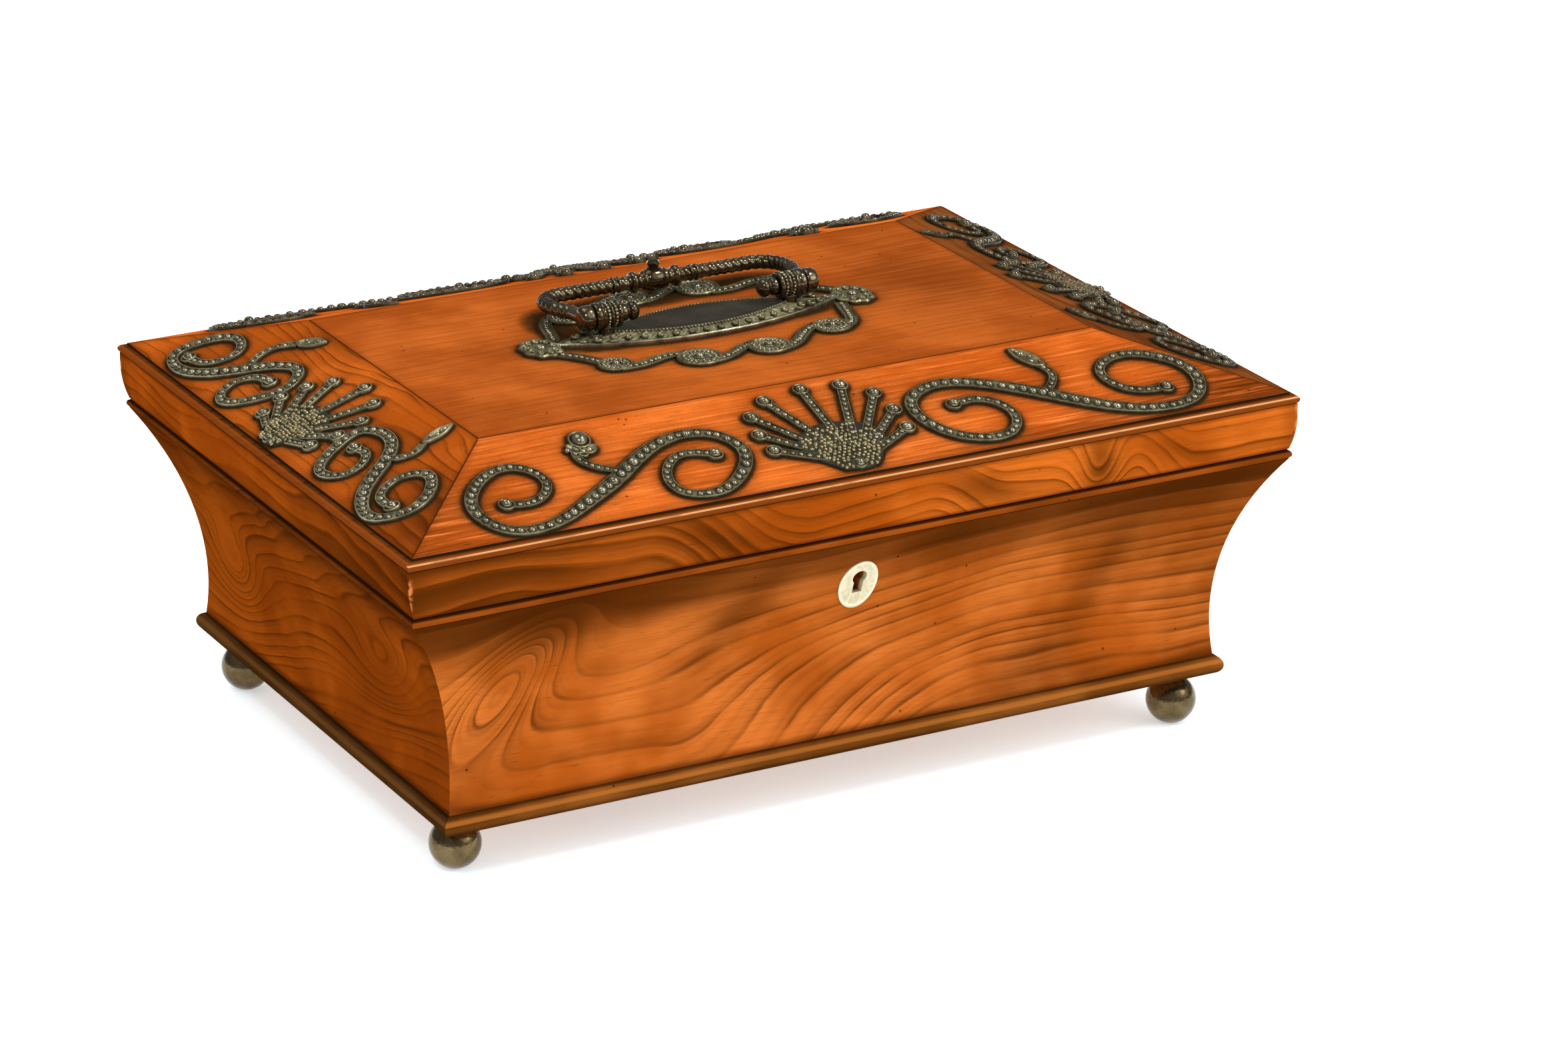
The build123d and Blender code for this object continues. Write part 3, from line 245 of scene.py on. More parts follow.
def lid_marks(s, colour, light, dark):
    """Joint lines down the hips and round the panel, a darker low edge, and dirt and painted shade round the
    mounts and the handle.
    """
    mean_inset = (inset_x + inset_y) / 2
    hip_run = inset_x * inset_y / hypot(inset_x, inset_y)
    out_x, out_y = (half_x - abs(s.x)) / inset_x, (half_y - abs(s.y)) / inset_y
    inner = s.math("MINIMUM", out_x, out_y)
    step = mean_inset * abs(inner - 1)
    hip = hip_run * abs(out_x - out_y) + s.spread(inner, 0.99, 1, 0, 50)
    near = s.math("MINIMUM", hip, step)
    colour = s.shade(colour, srgb(40, 18, 6), near, 0.12, 0.42, 0.9, 0)
    colour = s.shade(colour, dark, near, 0.2, 2.5, 0.3, 0)
    colour = s.shade(colour, dark, inner, 0.054, 0.146, 0.45, 0)
    # dirt and painted shade: darker wherever the occlusion node finds mounts or the handle close over the
    # wood
    dirt_and_shade = 0.12 * (s.noise(s.place, 0.9) - 0.5) + s.occlusion(0.009)
    colour = s.shade(colour, dark, dirt_and_shade, 0.92, 1, 0.55, 0)
    return s.shade(colour, srgb(36, 24, 10), dirt_and_shade, 0.86, 0.982, 0.97, 0)


def body_marks(s, colour, light, dark):
    """Darker towards the corner above the base moulding."""
    return s.shade(colour, dark, s.z, base_top_z, base_top_z + 2.6, 0.7, 0)


def base_marks(s, colour, light, dark):
    """Painted shade on the lower half of the moulding, a painted highlight along its crest and a dark line
    along its top.
    """
    # painted shade: darker towards the foot of the moulding, where its round turns down
    colour = s.shade(colour, dark, s.z, base_foot_z + 0.2, base_foot_z + 3.6, 0.8, 0)
    # painted highlight: a pale line along the crest of the round
    colour = s.shade(colour, paler(light, 1.7), abs(s.z - base_crest_z), 0.3, 1, 0.5, 0)
    return s.shade(colour, dark, s.z, base_top_z - 0.7, base_top_z - 0.1, 0, 0.8)


def body_bead_marks(s, colour, light, dark):
    """Painted shade on the beads along the left and right sides, and a black line where the lid meets the
    body.
    """
    out_x, out_y = abs(s.x) - half_x, abs(s.y) - half_y
    # painted shade: the side beads are darker, as the side boards are
    colour = s.shade(colour, dark, out_x - out_y, -0.1, 0.1, 0, 0.65)
    return s.shade(colour, srgb(28, 12, 4), s.z, body_top_z - 0.7, body_top_z - 0.3, 0, 0.9)


def lid_bead_marks(s, colour, light, dark):
    """A painted highlight on the outer face, and a painted highlight line along the front and back edges."""
    out_x, out_y = abs(s.x) - half_x, abs(s.y) - half_y
    outer = s.spread(s.math("MAXIMUM", out_x, out_y), -1.3, -0.9)
    # painted highlight: the outer face of the bead is made lighter
    face = outer * s.spread(s.z, rail_head_z - 0.4, rail_head_z + 0.2)
    colour = s.mix(0.35 * face, colour, srgb(150, 70, 20))
    # painted highlight: a pale line on the front and back edges only, where the light catches them
    line = s.spread(abs(s.z - (edge_z - 0.5)), 0.1, 0.3, 1, 0) * s.spread(out_y, -1.3, -0.9)
    highlight_strength = s.spread(s.noise(s.place, 0.12, 3), 0.3, 0.5, 0.5, 1)
    return s.mix(line * highlight_strength, colour, srgb(176, 128, 86))


def rail_marks(s, colour, light, dark):
    """Worn corners, with a dark line at foot and head."""
    corner = s.math("MAXIMUM", half_x - abs(s.x), half_y - abs(s.y))
    nibbled = s.spread(s.noise(s.place, 0.35, 3), 0.4, 0.6)
    colour = s.shade(colour, dark, corner, 1.5, 9, 0.4, 0)
    colour = s.mix(s.spread(corner, 0.9, 1.9, 0.8, 0) * nibbled, colour, srgb(196, 110, 60))
    colour = s.shade(colour, dark, s.z, rail_foot_z, rail_foot_z + 1.4, 0.7, 0)
    return s.shade(colour, dark, s.z, rail_head_z - 1.6, rail_head_z, 0, 0.5)


def metal(name, dark, light, rough, metallic=0.9, grime=(24, 19, 11), scale=0.25, dents=0, hollows=0.0012):
    """Old metal with uneven tone, dark specks and dark hollows."""
    dark, light, grime = srgb(*dark), srgb(*light), srgb(*grime)
    s = Shader(name)
    speck = s.noise(s.place, 2.2, 2, 0.6)
    colour = s.mix(s.spread(s.noise(s.place, scale, 4, 0.6), 0.3, 0.7), dark, light)
    colour = s.shade(colour, grime, speck, 0.58, 0.75, 0, 0.5)
    if hollows:
        colour = s.shade(colour, grime, s.occlusion(hollows), 0.35, 0.8, 0.85, 0)
    normal = s.bump(s.noise(s.place, 1.1, 3), 0.2 + dents, 0.00015)
    roughness = s.spread(speck, 0.3, 0.7, rough - 0.06, rough + 0.12)
    return s.finish(Base_Color=colour, Roughness=roughness, Normal=normal, Metallic=metallic)


def cloth(name, dark, light, sheen):
    """Fine woven silk."""
    dark, light = srgb(*dark), srgb(*light)
    s = Shader(name)
    weave = s.math("SINE", 11.0 * s.x) * s.math("SINE", 11.0 * s.y)
    colour = s.mix(s.spread(s.noise(s.place, 0.06, 3), 0.3, 0.7), dark, light)
    colour = s.shade(colour, dark, weave, -1, 1, 0, 0.35)
    return s.finish(Base_Color=colour, Normal=s.bump(weave, 0.3, 0.0002), Roughness=0.62, Sheen_Weight=sheen)


def pearl():
    """Pale shell with soft clouds and a lighter worn edge."""
    centre_x, centre_z, half_width, half_height = 1.5, 75.2, 6.5, 8.4
    s = Shader("shell_inlay")
    cloud = s.noise(s.join(s.x, s.y, 0.4 * s.z), 0.35, 3, 0.6, 1.5)
    colour = s.mix(s.spread(cloud, 0.35, 0.65), srgb(172, 156, 118), srgb(196, 182, 146))
    dx, dz = (s.x - centre_x) / half_width, (s.z - centre_z) / half_height
    radius = (dx * dx + dz * dz) ** 0.5
    colour = s.shade(colour, srgb(214, 204, 172), radius, 0.82, 0.94, 0, 0.6)
    colour = s.shade(colour, srgb(90, 56, 26), radius, 0.97, 1.04, 0, 0.5)
    return s.finish(Base_Color=colour, Normal=s.bump(cloud, 0.08, 0.0002), Roughness=0.3, Coat_Weight=0.3)


# Meshes

class Shape:
    """Points in millimetres, and faces of (corners, material number, smooth)."""

    def __init__(self):
        self.points, self.faces = [], []

    def add(self, points, faces):
        start = len(self.points)
        self.points += [tuple(p) for p in points]
        self.faces += [([i + start for i in corners], slot, smooth) for corners, slot, smooth in faces]

    def turned(self, other, matrix):
        """Adds another shape, moved by a matrix."""
        self.add([matrix @ Vector(p) for p in other.points], other.faces)

    def cap(self, ring, slot=0):
        self.add(ring, [(range(len(ring)), slot, False)])

    def loft(self, rings, slot=0, smooth=False, closed_ring=True, cap_start=False, cap_end=False):
        """Faces between rings that have as many points each."""
        count = len(rings[0])
        points = [p for ring in rings for p in ring]
        faces = []
        for a in range(0, len(points) - count, count):
            b = a + count
            for j in range(count if closed_ring else count - 1):
                k = (j + 1) % count
                faces.append((a + j, a + k, b + k, b + j))
        if cap_start:
            faces.append(range(count)[::-1])
        if cap_end:
            faces.append(range(len(points) - count, len(points)))
        self.add(points, [(corners, slot, smooth) for corners in faces])

    def rings(self, point, sides, profile, slot=0, smooth=True, **caps):
        """Rings whose points come from an angle and from each step of a profile."""
        self.loft([[point(a, *step) for a in angles(sides)] for step in profile], slot, smooth, **caps)

    def piece(self, name, body, slot, materials, replaced):
        """Makes the object, on its body and in the place of the nodes that it replaces."""
        corners, slots, smooth = zip(*self.faces)
        mesh = bpy.data.meshes.new(name)
        mesh.from_pydata([(x * MM, y * MM, z * MM) for x, y, z in self.points], [], corners)
        for mat in materials:
            mesh.materials.append(mat)
        mesh.polygons.foreach_set("material_index", slots)
        mesh.polygons.foreach_set("use_smooth", smooth)
        mesh.update()
        obj = bpy.data.objects.new(name, mesh)
        bpy.context.scene.collection.objects.link(obj)
        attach(obj, body)
        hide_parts(*replaced)
        return obj


def shift(x, y, z):
    return Matrix.Translation((x, y, z))


def turn(angle, axis):
    return Matrix.Rotation(angle, 4, axis)


def spot(x, y, lean, across, along):
    """A place reached by going across and along a leaning direction."""
    c, s = cos(lean), sin(lean)
    return x + across * c - along * s, y + across * s + along * c


def angles(count, start=0):
    return [2 * pi * i / count + start for i in range(count)]


def oval(x, y, z, radius, sides, stretch=1, lean=0, start=0):
    """Points round a circle, or round an oval that is stretched along its lean."""
    return [(*spot(x, y, lean, radius * cos(a), radius * stretch * sin(a)), z) for a in angles(sides, start)]


def dome(shape, x, y, z, radius, height, sides=10, slot=1, start=0, stretch=1, lean=0):
    """A round-topped stud."""
    shape.loft([
        oval(x, y, z + height * level, radius * part, sides, stretch, lean, start)
        for part, level in ((1, -0.1), (0.98, 0.3), (0.82, 0.68), (0.52, 0.92), (0.18, 1))
    ], slot, True, cap_end=True)


def lathe(profile, sides=32, smooth=True):
    """A shape turned about Z from a profile of (height, radius), with both ends closed."""
    shape = Shape()
    rings = [oval(0, 0, z, radius, sides) for z, radius in profile]
    shape.loft(rings, 0, smooth, cap_start=True, cap_end=True)
    return shape


def distances(points):
    """How far along their chain the points lie."""
    along = [0]
    for a, b in zip(points, points[1:]):
        along.append(along[-1] + hypot(b[0] - a[0], b[1] - a[1]))
    return along


def spline_bends(knots, values):
    """The second derivatives of a natural cubic spline."""
    n = len(knots)
    lower, upper, bends = [0] * n, [0] * n, [0] * n
    for i in range(1, n - 1):
        before, after = knots[i] - knots[i - 1], knots[i + 1] - knots[i]
        right = 6 * ((values[i + 1] - values[i]) / after - (values[i] - values[i - 1]) / before)
        pivot = 2 * (before + after) - before * lower[i - 1]
        lower[i] = after / pivot
        upper[i] = (right - before * upper[i - 1]) / pivot
    for i in range(n - 2, 0, -1):
        bends[i] = upper[i] - lower[i] * bends[i + 1]
    return bends


def smooth_line(points, step):
    """Evenly spaced places and headings on a smooth curve through the points, and its length."""
    knots = distances(points)
    bends = [spline_bends(knots, values) for values in zip(*points)]
    dense = []
    for i in range(len(points) - 1):
        h = knots[i + 1] - knots[i]
        pieces = max(4, int(h / 0.25))
        for j in range(pieces + (i == len(points) - 2)):
            q = j / pieces
            p = 1 - q
            dense.append([
                p * start + q * end + h * h / 6 * ((p**3 - p) * bend[i] + (q**3 - q) * bend[i + 1])
                for start, end, bend in zip(points[i], points[i + 1], bends)
            ])
    along = distances(dense)
    count = max(2, int(round(along[-1] / step)))
    result, k = [], 0
    for i in range(count + 1):
        goal = along[-1] * i / count
        while k < len(along) - 2 and along[k + 1] < goal:
            k += 1
        q = (goal - along[k]) / (along[k + 1] - along[k])
        dx, dy = dense[k + 1][0] - dense[k][0], dense[k + 1][1] - dense[k][1]
        size = hypot(dx, dy)
        result.append((dense[k][0] + q * dx, dense[k][1] + q * dy, dx / size, dy / size, goal))
    return result, along[-1]


# Parts of the studded mounts; material numbers: band, stud, grime, grain

BAND, STUD, GRIME, GRAIN = range(4)
rim_height, floor_height = 1, 0.6


def stud(shape, x, y, z, radius, tall, start=0):
    """A bright stud with a dark line round its foot."""
    dome(shape, x, y, z, radius, tall, start=start)
    shape.loft([oval(x, y, z + 0.12, 1.32 * radius, 10), oval(x, y, z + 0.17, 0.9 * radius, 10)], GRIME)


def strap(shape, points, slim, swells=(), size=0.3, gap=3.1):
    """A band with a row of round studs between its milled rims.

    A swell is (place along the band, extra width, reach).
    """
    mill, bevel, lip, groove, shoulder = 0.06, 0.1, 0.26, 0.4, 0.7
    samples, length = smooth_line(points, 0.5)

    def width(goal):
        share = goal / length
        return slim + sum(more * exp(-((share - place) / reach) ** 2) for place, more, reach in swells)

    rings = []
    for i, (x, y, dx, dy, goal) in enumerate(samples):
        half = width(goal) / 2
        top = rim_height + (mill if i % 2 else -mill)
        right = [(half - groove, floor_height), (half - lip, top), (half - bevel, top), (half, shoulder),
                 (half, 0)]
        section = [(-a, h) for a, h in reversed(right)] + right
        rings.append([(x - dy * a, y + dx * a, h) for a, h in section])
    shape.loft(rings, BAND, False, closed_ring=False)
    for ring in (rings[0], rings[-1]):
        shape.cap(ring)
    goal = 1.6 * size * width(0)
    while goal < length - 0.6:
        radius = min(size * width(goal) * random.uniform(0.85, 1.15), width(goal) / 2 - 0.35)
        x, y, dx, dy, _ = samples[min(len(samples) - 1, int(goal / length * (len(samples) - 1)))]
        aside = random.uniform(-0.12, 0.12)
        tall = radius * random.uniform(0.8, 1)
        stud(shape, x - dy * aside, y + dx * aside, floor_height - 0.1, radius, tall, random.random())
        goal += random.uniform(0.88, 1.12) * (gap - 0.35 * (width(goal) - slim)) * radius


def cup(shape, x, y, radius, stretch=1, lean=0, high=0.75):
    """A large polished stud in a raised ring, with a dark groove between them."""
    rings = [
        oval(x, y, level, radius * part, 24, stretch, lean)
        for part, level in ((1, 0), (1, 0.85), (0.95, 1.15), (0.86, 1.2), (0.79, 0.9), (0.76, 0.55))
    ]
    shape.loft(rings[:5], BAND, True)
    shape.loft(rings[4:], GRIME, True, cap_end=True)
    dome(shape, x, y, floor_height, radius * 0.66, high * radius, 16, STUD, 0, stretch, lean)


def leaf(shape, x, y, half_width, half_length, lean, studs):
    """A pointed leaf with a raised edge and studs of its own: (across, along, radius, stretch)."""
    def point(a, part, level):
        narrow = 1.0 - 0.55 * max(0, sin(a)) ** 2
        return (*spot(x, y, lean, half_width * part * cos(a) * narrow, half_length * part * sin(a)), level)

    profile = ((1, 0), (1, 0.75), (0.92, 1.1), (0.8, 1.05), (0.68, 0.65))
    shape.rings(point, 28, profile, BAND, cap_end=True)
    for across, place, radius, stretch in studs:
        where = spot(x, y, lean, across * half_width, place * half_length)
        dome(shape, *where, floor_height, radius, 0.85 * radius + 0.2, 12, STUD, 0, stretch, lean)


def cup_bud(shape, x, y, lean):
    """A round stud in a cup above two small lobes and a tail."""
    for sign in (-1, 1):
        centre = spot(x, y, lean, 2.5 * sign, -4.6)
        leaf(shape, *centre, 1.9, 3, lean + sign * -0.8, [(0, -0.15, 0.85, 1.4)])
    leaf(shape, *spot(x, y, lean, 0, -6), 1.9, 2.6, lean, [(0, 0, 0.95, 1)])
    cup(shape, x, y, 3.6, 1.2, lean, 0.62)


def pod_bud(shape, x, y, scale, lean):
    """A pointed pod with a long stud near its tip and three smaller ones."""
    leaf(shape, x, y, 2.9 * scale, 6.9 * scale, lean, [
        (0, 0.38, 0.95 * scale, 2.1), (0.28, -0.1, 0.95 * scale, 1), (-0.38, -0.38, 0.85 * scale, 1),
        (0.35, -0.62, 0.6 * scale, 1),
    ])


def scroll(shape, points, stem, extra=()):
    """A band that curls at both ends, with a stem on its back and loose studs beside it."""
    strap(shape, points, 3, ((0.25, 1, 0.09), (0.5, 2.2, 0.12), (0.75, 1.1, 0.08)))
    strap(shape, stem, 2.6)
    for end in (points[0], points[-1]):
        cup(shape, *end, 2.6)
    for x, y, radius in extra:
        dome(shape, x, y, floor_height - 0.1, radius, radius, 14)


def shell(shape, tips, palm, size, low_stud):
    """A scallop: studded rays that grow out of one granulated fan."""
    px, py = palm
    right = [(6.5, -1), (9.3, 2.5), (12.8, 6.6), (14.4, 11), (13, 16), (9, 19.4), (4.6, 21)]
    outline = [(-x, y) for x, y in right] + [(0, 21.6)] + right[::-1] + [(0, -2.6)]
    outline = [(size * x, size * y) for x, y in outline]
    closed, _ = smooth_line(outline + outline[:1], 1)
    middle_y = 11 * size
    shape.loft([
        [(px + x * part, py + middle_y + (y - middle_y) * part, level) for x, y, *_ in closed[:-1]]
        for part, level in ((0.5, 0.9), (0.96, 0.85), (1, 0.6), (1, 0))
    ], GRIME, True, cap_start=True)
    root = 9.0 * size
    for tip in tips:
        dx, dy = tip[0] - px, tip[1] - py
        length = hypot(dx, dy)
        start = (px + root * (dx / length), py + root * (dy / length))
        middle = ((start[0] + tip[0]) / 2, (start[1] + tip[1]) / 2)
        strap(shape, [start, middle, tip], 2.8, size=0.29, gap=3)
        cup(shape, *tip, 2.6, 1, 0, 0.62)
    # Grains in staggered rows, thinner towards the rays
    across, up, reach_x, reach_y, full, thin = 1.68, 1.45, 15, 22, 13.5, 20
    row, y = 0, -1.6
    while y < reach_y:
        x = -reach_x + (across / 2 if row % 2 else 0)
        while x < reach_x:
            place = (px + size * x, py + size * y)
            clear = hypot(place[0] - low_stud[0], place[1] - low_stud[1]) > 2.7
            wide = 7.0 + 0.6 * y if y > 0 else 6.0
            reach = hypot(x, y)
            if abs(x) < wide and (reach < full or reach < thin and random.random() < 0.6) and clear:
                where = (place[0] + random.uniform(-0.4, 0.4), place[1] + random.uniform(-0.35, 0.35))
                radius = random.uniform(0.58, 0.78)
                dome(shape, *where, 0.85, radius, radius, 6, GRAIN, start=random.random())
            x += across
        y += up
        row += 1
    cup(shape, *low_stud, 2.2, 1, 0, 0.8)


def slope_matrix(side):
    """From a slope's own plane (x along the edge, y up the slope) to the box."""
    if side == "front":
        out, x_dir, inset, reach = Vector((0, -1, 0)), Vector((1, 0, 0)), inset_y, half_y
    else:
        out, x_dir, inset, reach = Vector((-1, 0, 0)), Vector((0, -1, 0)), inset_x, half_x
    normal = (out * rise + Vector((0, 0, inset))) / hypot(inset, rise)
    matrix = Matrix((x_dir, normal.cross(x_dir), normal)).transposed().to_4x4()
    return Matrix.Translation(out * reach + Vector((0, 0, edge_z))) @ matrix


half_turn = turn(pi, "Z")

# Wood: three tones for each kind, then one figure for each board

bright_wood = (186, 99, 38), (150, 70, 16), (64, 27, 3)
rail_wood = (184, 91, 25), (150, 66, 10), (66, 28, 3)
slope_wood = (188, 96, 36), (154, 69, 17), (68, 28, 5)
# painted shade: darker copies of the tones for boards that lie in shade: the left body board, the left rail,
# the left slope and the far right slope
shaded_body_wood = (140, 64, 11), (114, 48, 6), (50, 20, 3)
shaded_left_rail_wood = (158, 72, 12), (128, 54, 7), (54, 22, 3)
shaded_left_slope_wood = (166, 80, 22), (138, 62, 12), (58, 24, 4)
shaded_far_slope_wood = (112, 60, 24), (88, 44, 16), (42, 20, 6)
panel_wood = (154, 77, 27), (122, 55, 14), (84, 38, 10)
trim_tones = (128, 74, 27), (92, 50, 14), (38, 19, 5)
# painted shade: darker tones for the mouldings along the sides
side_trim_tones = (78, 48, 20), (58, 34, 12), (30, 17, 5)
# painted shade: a darker tone for the body's edge beads, which lie in the shade of the lid
body_bead_tones = (136, 64, 14), (108, 48, 8), (54, 23, 3)
lid_bead_tones = (84, 42, 11), (64, 31, 7), (30, 14, 4)
inside_wood = (186, 124, 66), (160, 98, 46), (96, 52, 22)

woods = {}


def board(node, tones, pitch, warp, seed, marks, **figure):
    """One board: its figure is drawn along its length, over the face that shows most."""
    along, beside = ("Y", "X") if "left" in node or "right" in node else ("X", "Y")
    across = beside if marks is lid_marks else "Z"
    woods[node] = wood(f"wood_{node}", along, across, tones, pitch, warp, seed, marks, **figure)


# painted shade: on the body panels, the shades high up and top_shade darken the wood under the lid; the
# lower shades are dark patches in the wood itself
board("body_front_panel", bright_wood, 5.6, 2.6, 1.7, body_marks, fan=(97, 0.46, -2, 0, 110, 0.3),
      eyes=[(-113, 64, 25, 10.5, 0.9, 31), (-70, 66, 20, 12, 0.2, -4)],
      shades=[(-112, 97, 62, 20, 0, 1), (-100, 82, 46, 9, 0, 0.4), (-38, 74, 25, 8, 0.87, 0.6),
              (30, 86, 46, 12, 0, 0.65), (90, 66, 26, 8, 1.1, 0.55), (66, 36, 18, 9, 0.4, 0.5),
              (118, 92, 50, 16, 0, 1), (120, 70, 40, 14, 0, 0.35), (136, 44, 20, 26, 0, 0.3),
              (-122, 40, 14, 10, 0, 0.25)],
      top_shade=(70, 98, 0.95), bands=0.6)
board("body_back_panel", bright_wood, 5.6, 3.2, 4.2, body_marks, fan=(95, 0.66, -20, -0.5, 50, 1.4),
      eyes=[(98, 58, 13, 14, -0.4, 25), (56, 60, 15, 17, -0.3, -12)],
      shades=[(90, 92, 60, 12, 0, 0.8), (-40, 88, 50, 12, 0.1, 0.6), (-20, 52, 18, 20, -0.4, 0.45)],
      top_shade=(74, 108, 0.6))
board("body_left_panel", shaded_body_wood, 5, 4, 2.9, body_marks, slant=[(-110, 110, 46)],
      eyes=[(67, 52, 17, 13, 0.1, 22), (-54, 58, 27, 14, -0.3, 24)],
      shades=[(0, 97, 130, 18, 0, 0.6), (104, 78, 20, 20, 0, 0.5), (-104, 70, 12, 34, 0, 0.4)],
      top_shade=(70, 100, 0.6))
board("body_right_panel", bright_wood, 5.6, 4, 6.1, body_marks, fan=(95, 0.6, -10, 0.2, 70, 0.8),
      eyes=[(-60, 52, 18, 14, 0.2, 26)], shades=[(0, 92, 130, 13, 0, 0.65), (30, 50, 26, 14, 0.4, 0.4)],
      top_shade=(74, 108, 0.5))
board("lid_front_slope", slope_wood, 3.1, 2.4, 3.3, lid_marks,
      shades=[(-138, -96, 26, 20, 0.6, 0.6), (20, -76, 90, 12, 0, 0.2), (136, -104, 20, 16, 0, 0.9),
              (78, -108, 60, 5, 0, 0.5)],
      lines=0.22, bands=0.35, streaks=0.9, flecks=0.8, shine=0.6)
board("lid_back_slope", slope_wood, 3.1, 2.4, 5.3, lid_marks,
      lines=0.22, bands=0.35, streaks=0.8, flecks=0.6, shine=0.6)
board("lid_left_slope", shaded_left_slope_wood, 5.6, 8, 8.3, lid_marks,
      shades=[(-96, -136, 24, 26, 0, 0.7), (50, -104, 30, 12, 0, 0.3)], lines=0.6, bands=0.4)
board("lid_right_slope", shaded_far_slope_wood, 5, 7, 9.3, lid_marks, lines=0.55)
board("lid_centre_panel", panel_wood, 4.2, 3.4, 11.3, lid_marks,
      shades=[(0, 6, 60, 22, 0, 0.3), (-62, -44, 34, 10, 0.1, 0.2), (84, 0, 30, 50, 0, 0.5)],
      lines=0.22, bands=0.2, shine=0.2)
board("lid_front_rail", rail_wood, 5.4, 4, 12.1, rail_marks,
      slant=[(-75, -16, 30), (20, 48, 13), (88, 114, 15)], eyes=[(79, 102, 8, 16, 0, 15)],
      shades=[(-132, 102, 62, 40, 0, 0.8), (-46, 102, 44, 40, 0, 0.4), (-52, 103, 16, 4, -0.4, 0.6),
              (37, 103, 16, 5, -0.45, 0.7), (80, 103, 6, 12, 0.1, 0.7), (104, 104, 15, 4, -0.4, 0.4)],
      bands=0.6)
board("lid_back_rail", rail_wood, 8, 10, 13.4, rail_marks, shades=[(60, 102, 40, 20, 0, 0.5)], bands=0.5)
board("lid_left_rail", shaded_left_rail_wood, 8, 8, 14.4, rail_marks,
      shades=[(-90, 102, 80, 60, 0, 0.7)], lines=0.4)
board("lid_right_rail", rail_wood, 8, 8, 15.4, rail_marks, lines=0.4)
board("body_edge_beads", body_bead_tones, 5, 3, 25, body_bead_marks)
board("lid_edge_beads", lid_bead_tones, 3, 2, 24, lid_bead_marks, rough=0.3)
trim = wood("wood_trim", "X", "Z", trim_tones, 3, 2, 21, base_marks, lines=0.4, rough=0.3)
shaded_side_trim = wood("wood_side_trim", "Y", "Z", side_trim_tones, 3, 2, 22, base_marks, lines=0.4, rough=0.3)
plain_wood = wood("wood_plain", "X", "Y", inside_wood, 3.2, 4, 31, lines=0.35, rough=0.5)
side_plain_wood = wood("wood_side_plain", "Y", "X", inside_wood, 3.2, 4, 33, lines=0.35, rough=0.5)
for mat, *names in (
    (trim, "base_moulding_front", "base_moulding_back"),
    (shaded_side_trim, "base_moulding_left", "base_moulding_right"),
    (plain_wood, "bottom_board", "tray_base", "tray_dividers", "tray_sides", "lid_lining_board"),
    (side_plain_wood, "tray_rest_strips"),
):
    woods.update(dict.fromkeys(names, mat))

# Metal and cloth

stud_grime, grain_grime, shaded_grime = (60, 54, 38), (60, 52, 34), (50, 42, 28)
mount_dark = metal("steel_mount", (94, 88, 62), (134, 127, 96), 0.38)
mount_stud = metal("steel_stud", (104, 98, 76), (160, 153, 127), 0.13, grime=stud_grime, hollows=0)
mount_grime = metal("steel_grime", (30, 27, 16), (48, 43, 27), 0.6, 0.6, hollows=0)
mount_grain = metal("steel_grain", (118, 108, 77), (164, 151, 113), 0.22, grime=grain_grime, hollows=0)
# painted highlight: a lighter copy of the band metal for the left slope
lit_band = metal("steel_mount_bright", (122, 115, 88), (162, 154, 122), 0.36)
# painted shade: darker copies of the band, stud and grain metals for the back and right slopes
shaded_band = metal("steel_mount_shaded", (58, 48, 31), (90, 78, 54), 0.45)
shaded_stud = metal("steel_stud_shaded", (72, 62, 44), (122, 110, 84), 0.16, grime=shaded_grime, hollows=0)
shaded_grain = metal("steel_grain_shaded", (80, 68, 46), (124, 108, 76), 0.3, grime=shaded_grime, hollows=0)
plate_flute = metal("steel_flute", (78, 73, 52), (120, 114, 86), 0.5, scale=0.4)
plate_smooth = metal("steel_plate", (56, 50, 36), (82, 74, 56), 0.36, scale=0.08, hollows=0)
handle_steel = metal("steel_handle", (72, 62, 45), (112, 101, 78), 0.11, 0.95, scale=0.12)
foot_brass = metal("brass_foot", (84, 68, 43), (120, 100, 68), 0.18, scale=0.16, dents=0.1, hollows=0)
hinge_brass = metal("brass_hinge", (150, 116, 58), (186, 150, 84), 0.34)
plain_steel = metal("steel_plain", (96, 92, 84), (134, 130, 120), 0.36)
silk = cloth("silk_lining", (112, 24, 32), (150, 44, 48), 0.15)
velvet = cloth("velvet_lining", (84, 18, 28), (116, 34, 42), 0.4)

by_slot = {
    "foot_brass": foot_brass, "hinge_brass": hinge_brass, "lock_brass": hinge_brass,
    "dark_steel": plain_steel, "mount_steel": mount_dark, "handle_steel": handle_steel,
    "shell_inlay": pearl(), "lining_cloth": velvet, "plain_wood": plain_wood,
}
slot_of = {part["node"]: part["material_slot"] for part in frame["record"]["subparts"]}
for name, obj in nodes.items():
    mat = woods.get(name) or by_slot[slot_of[name]]
    obj.data.materials.clear()
    obj.data.materials.append(mat)

# Steel mounts on the slopes, each drawn flat: x along the edge, y up the slope

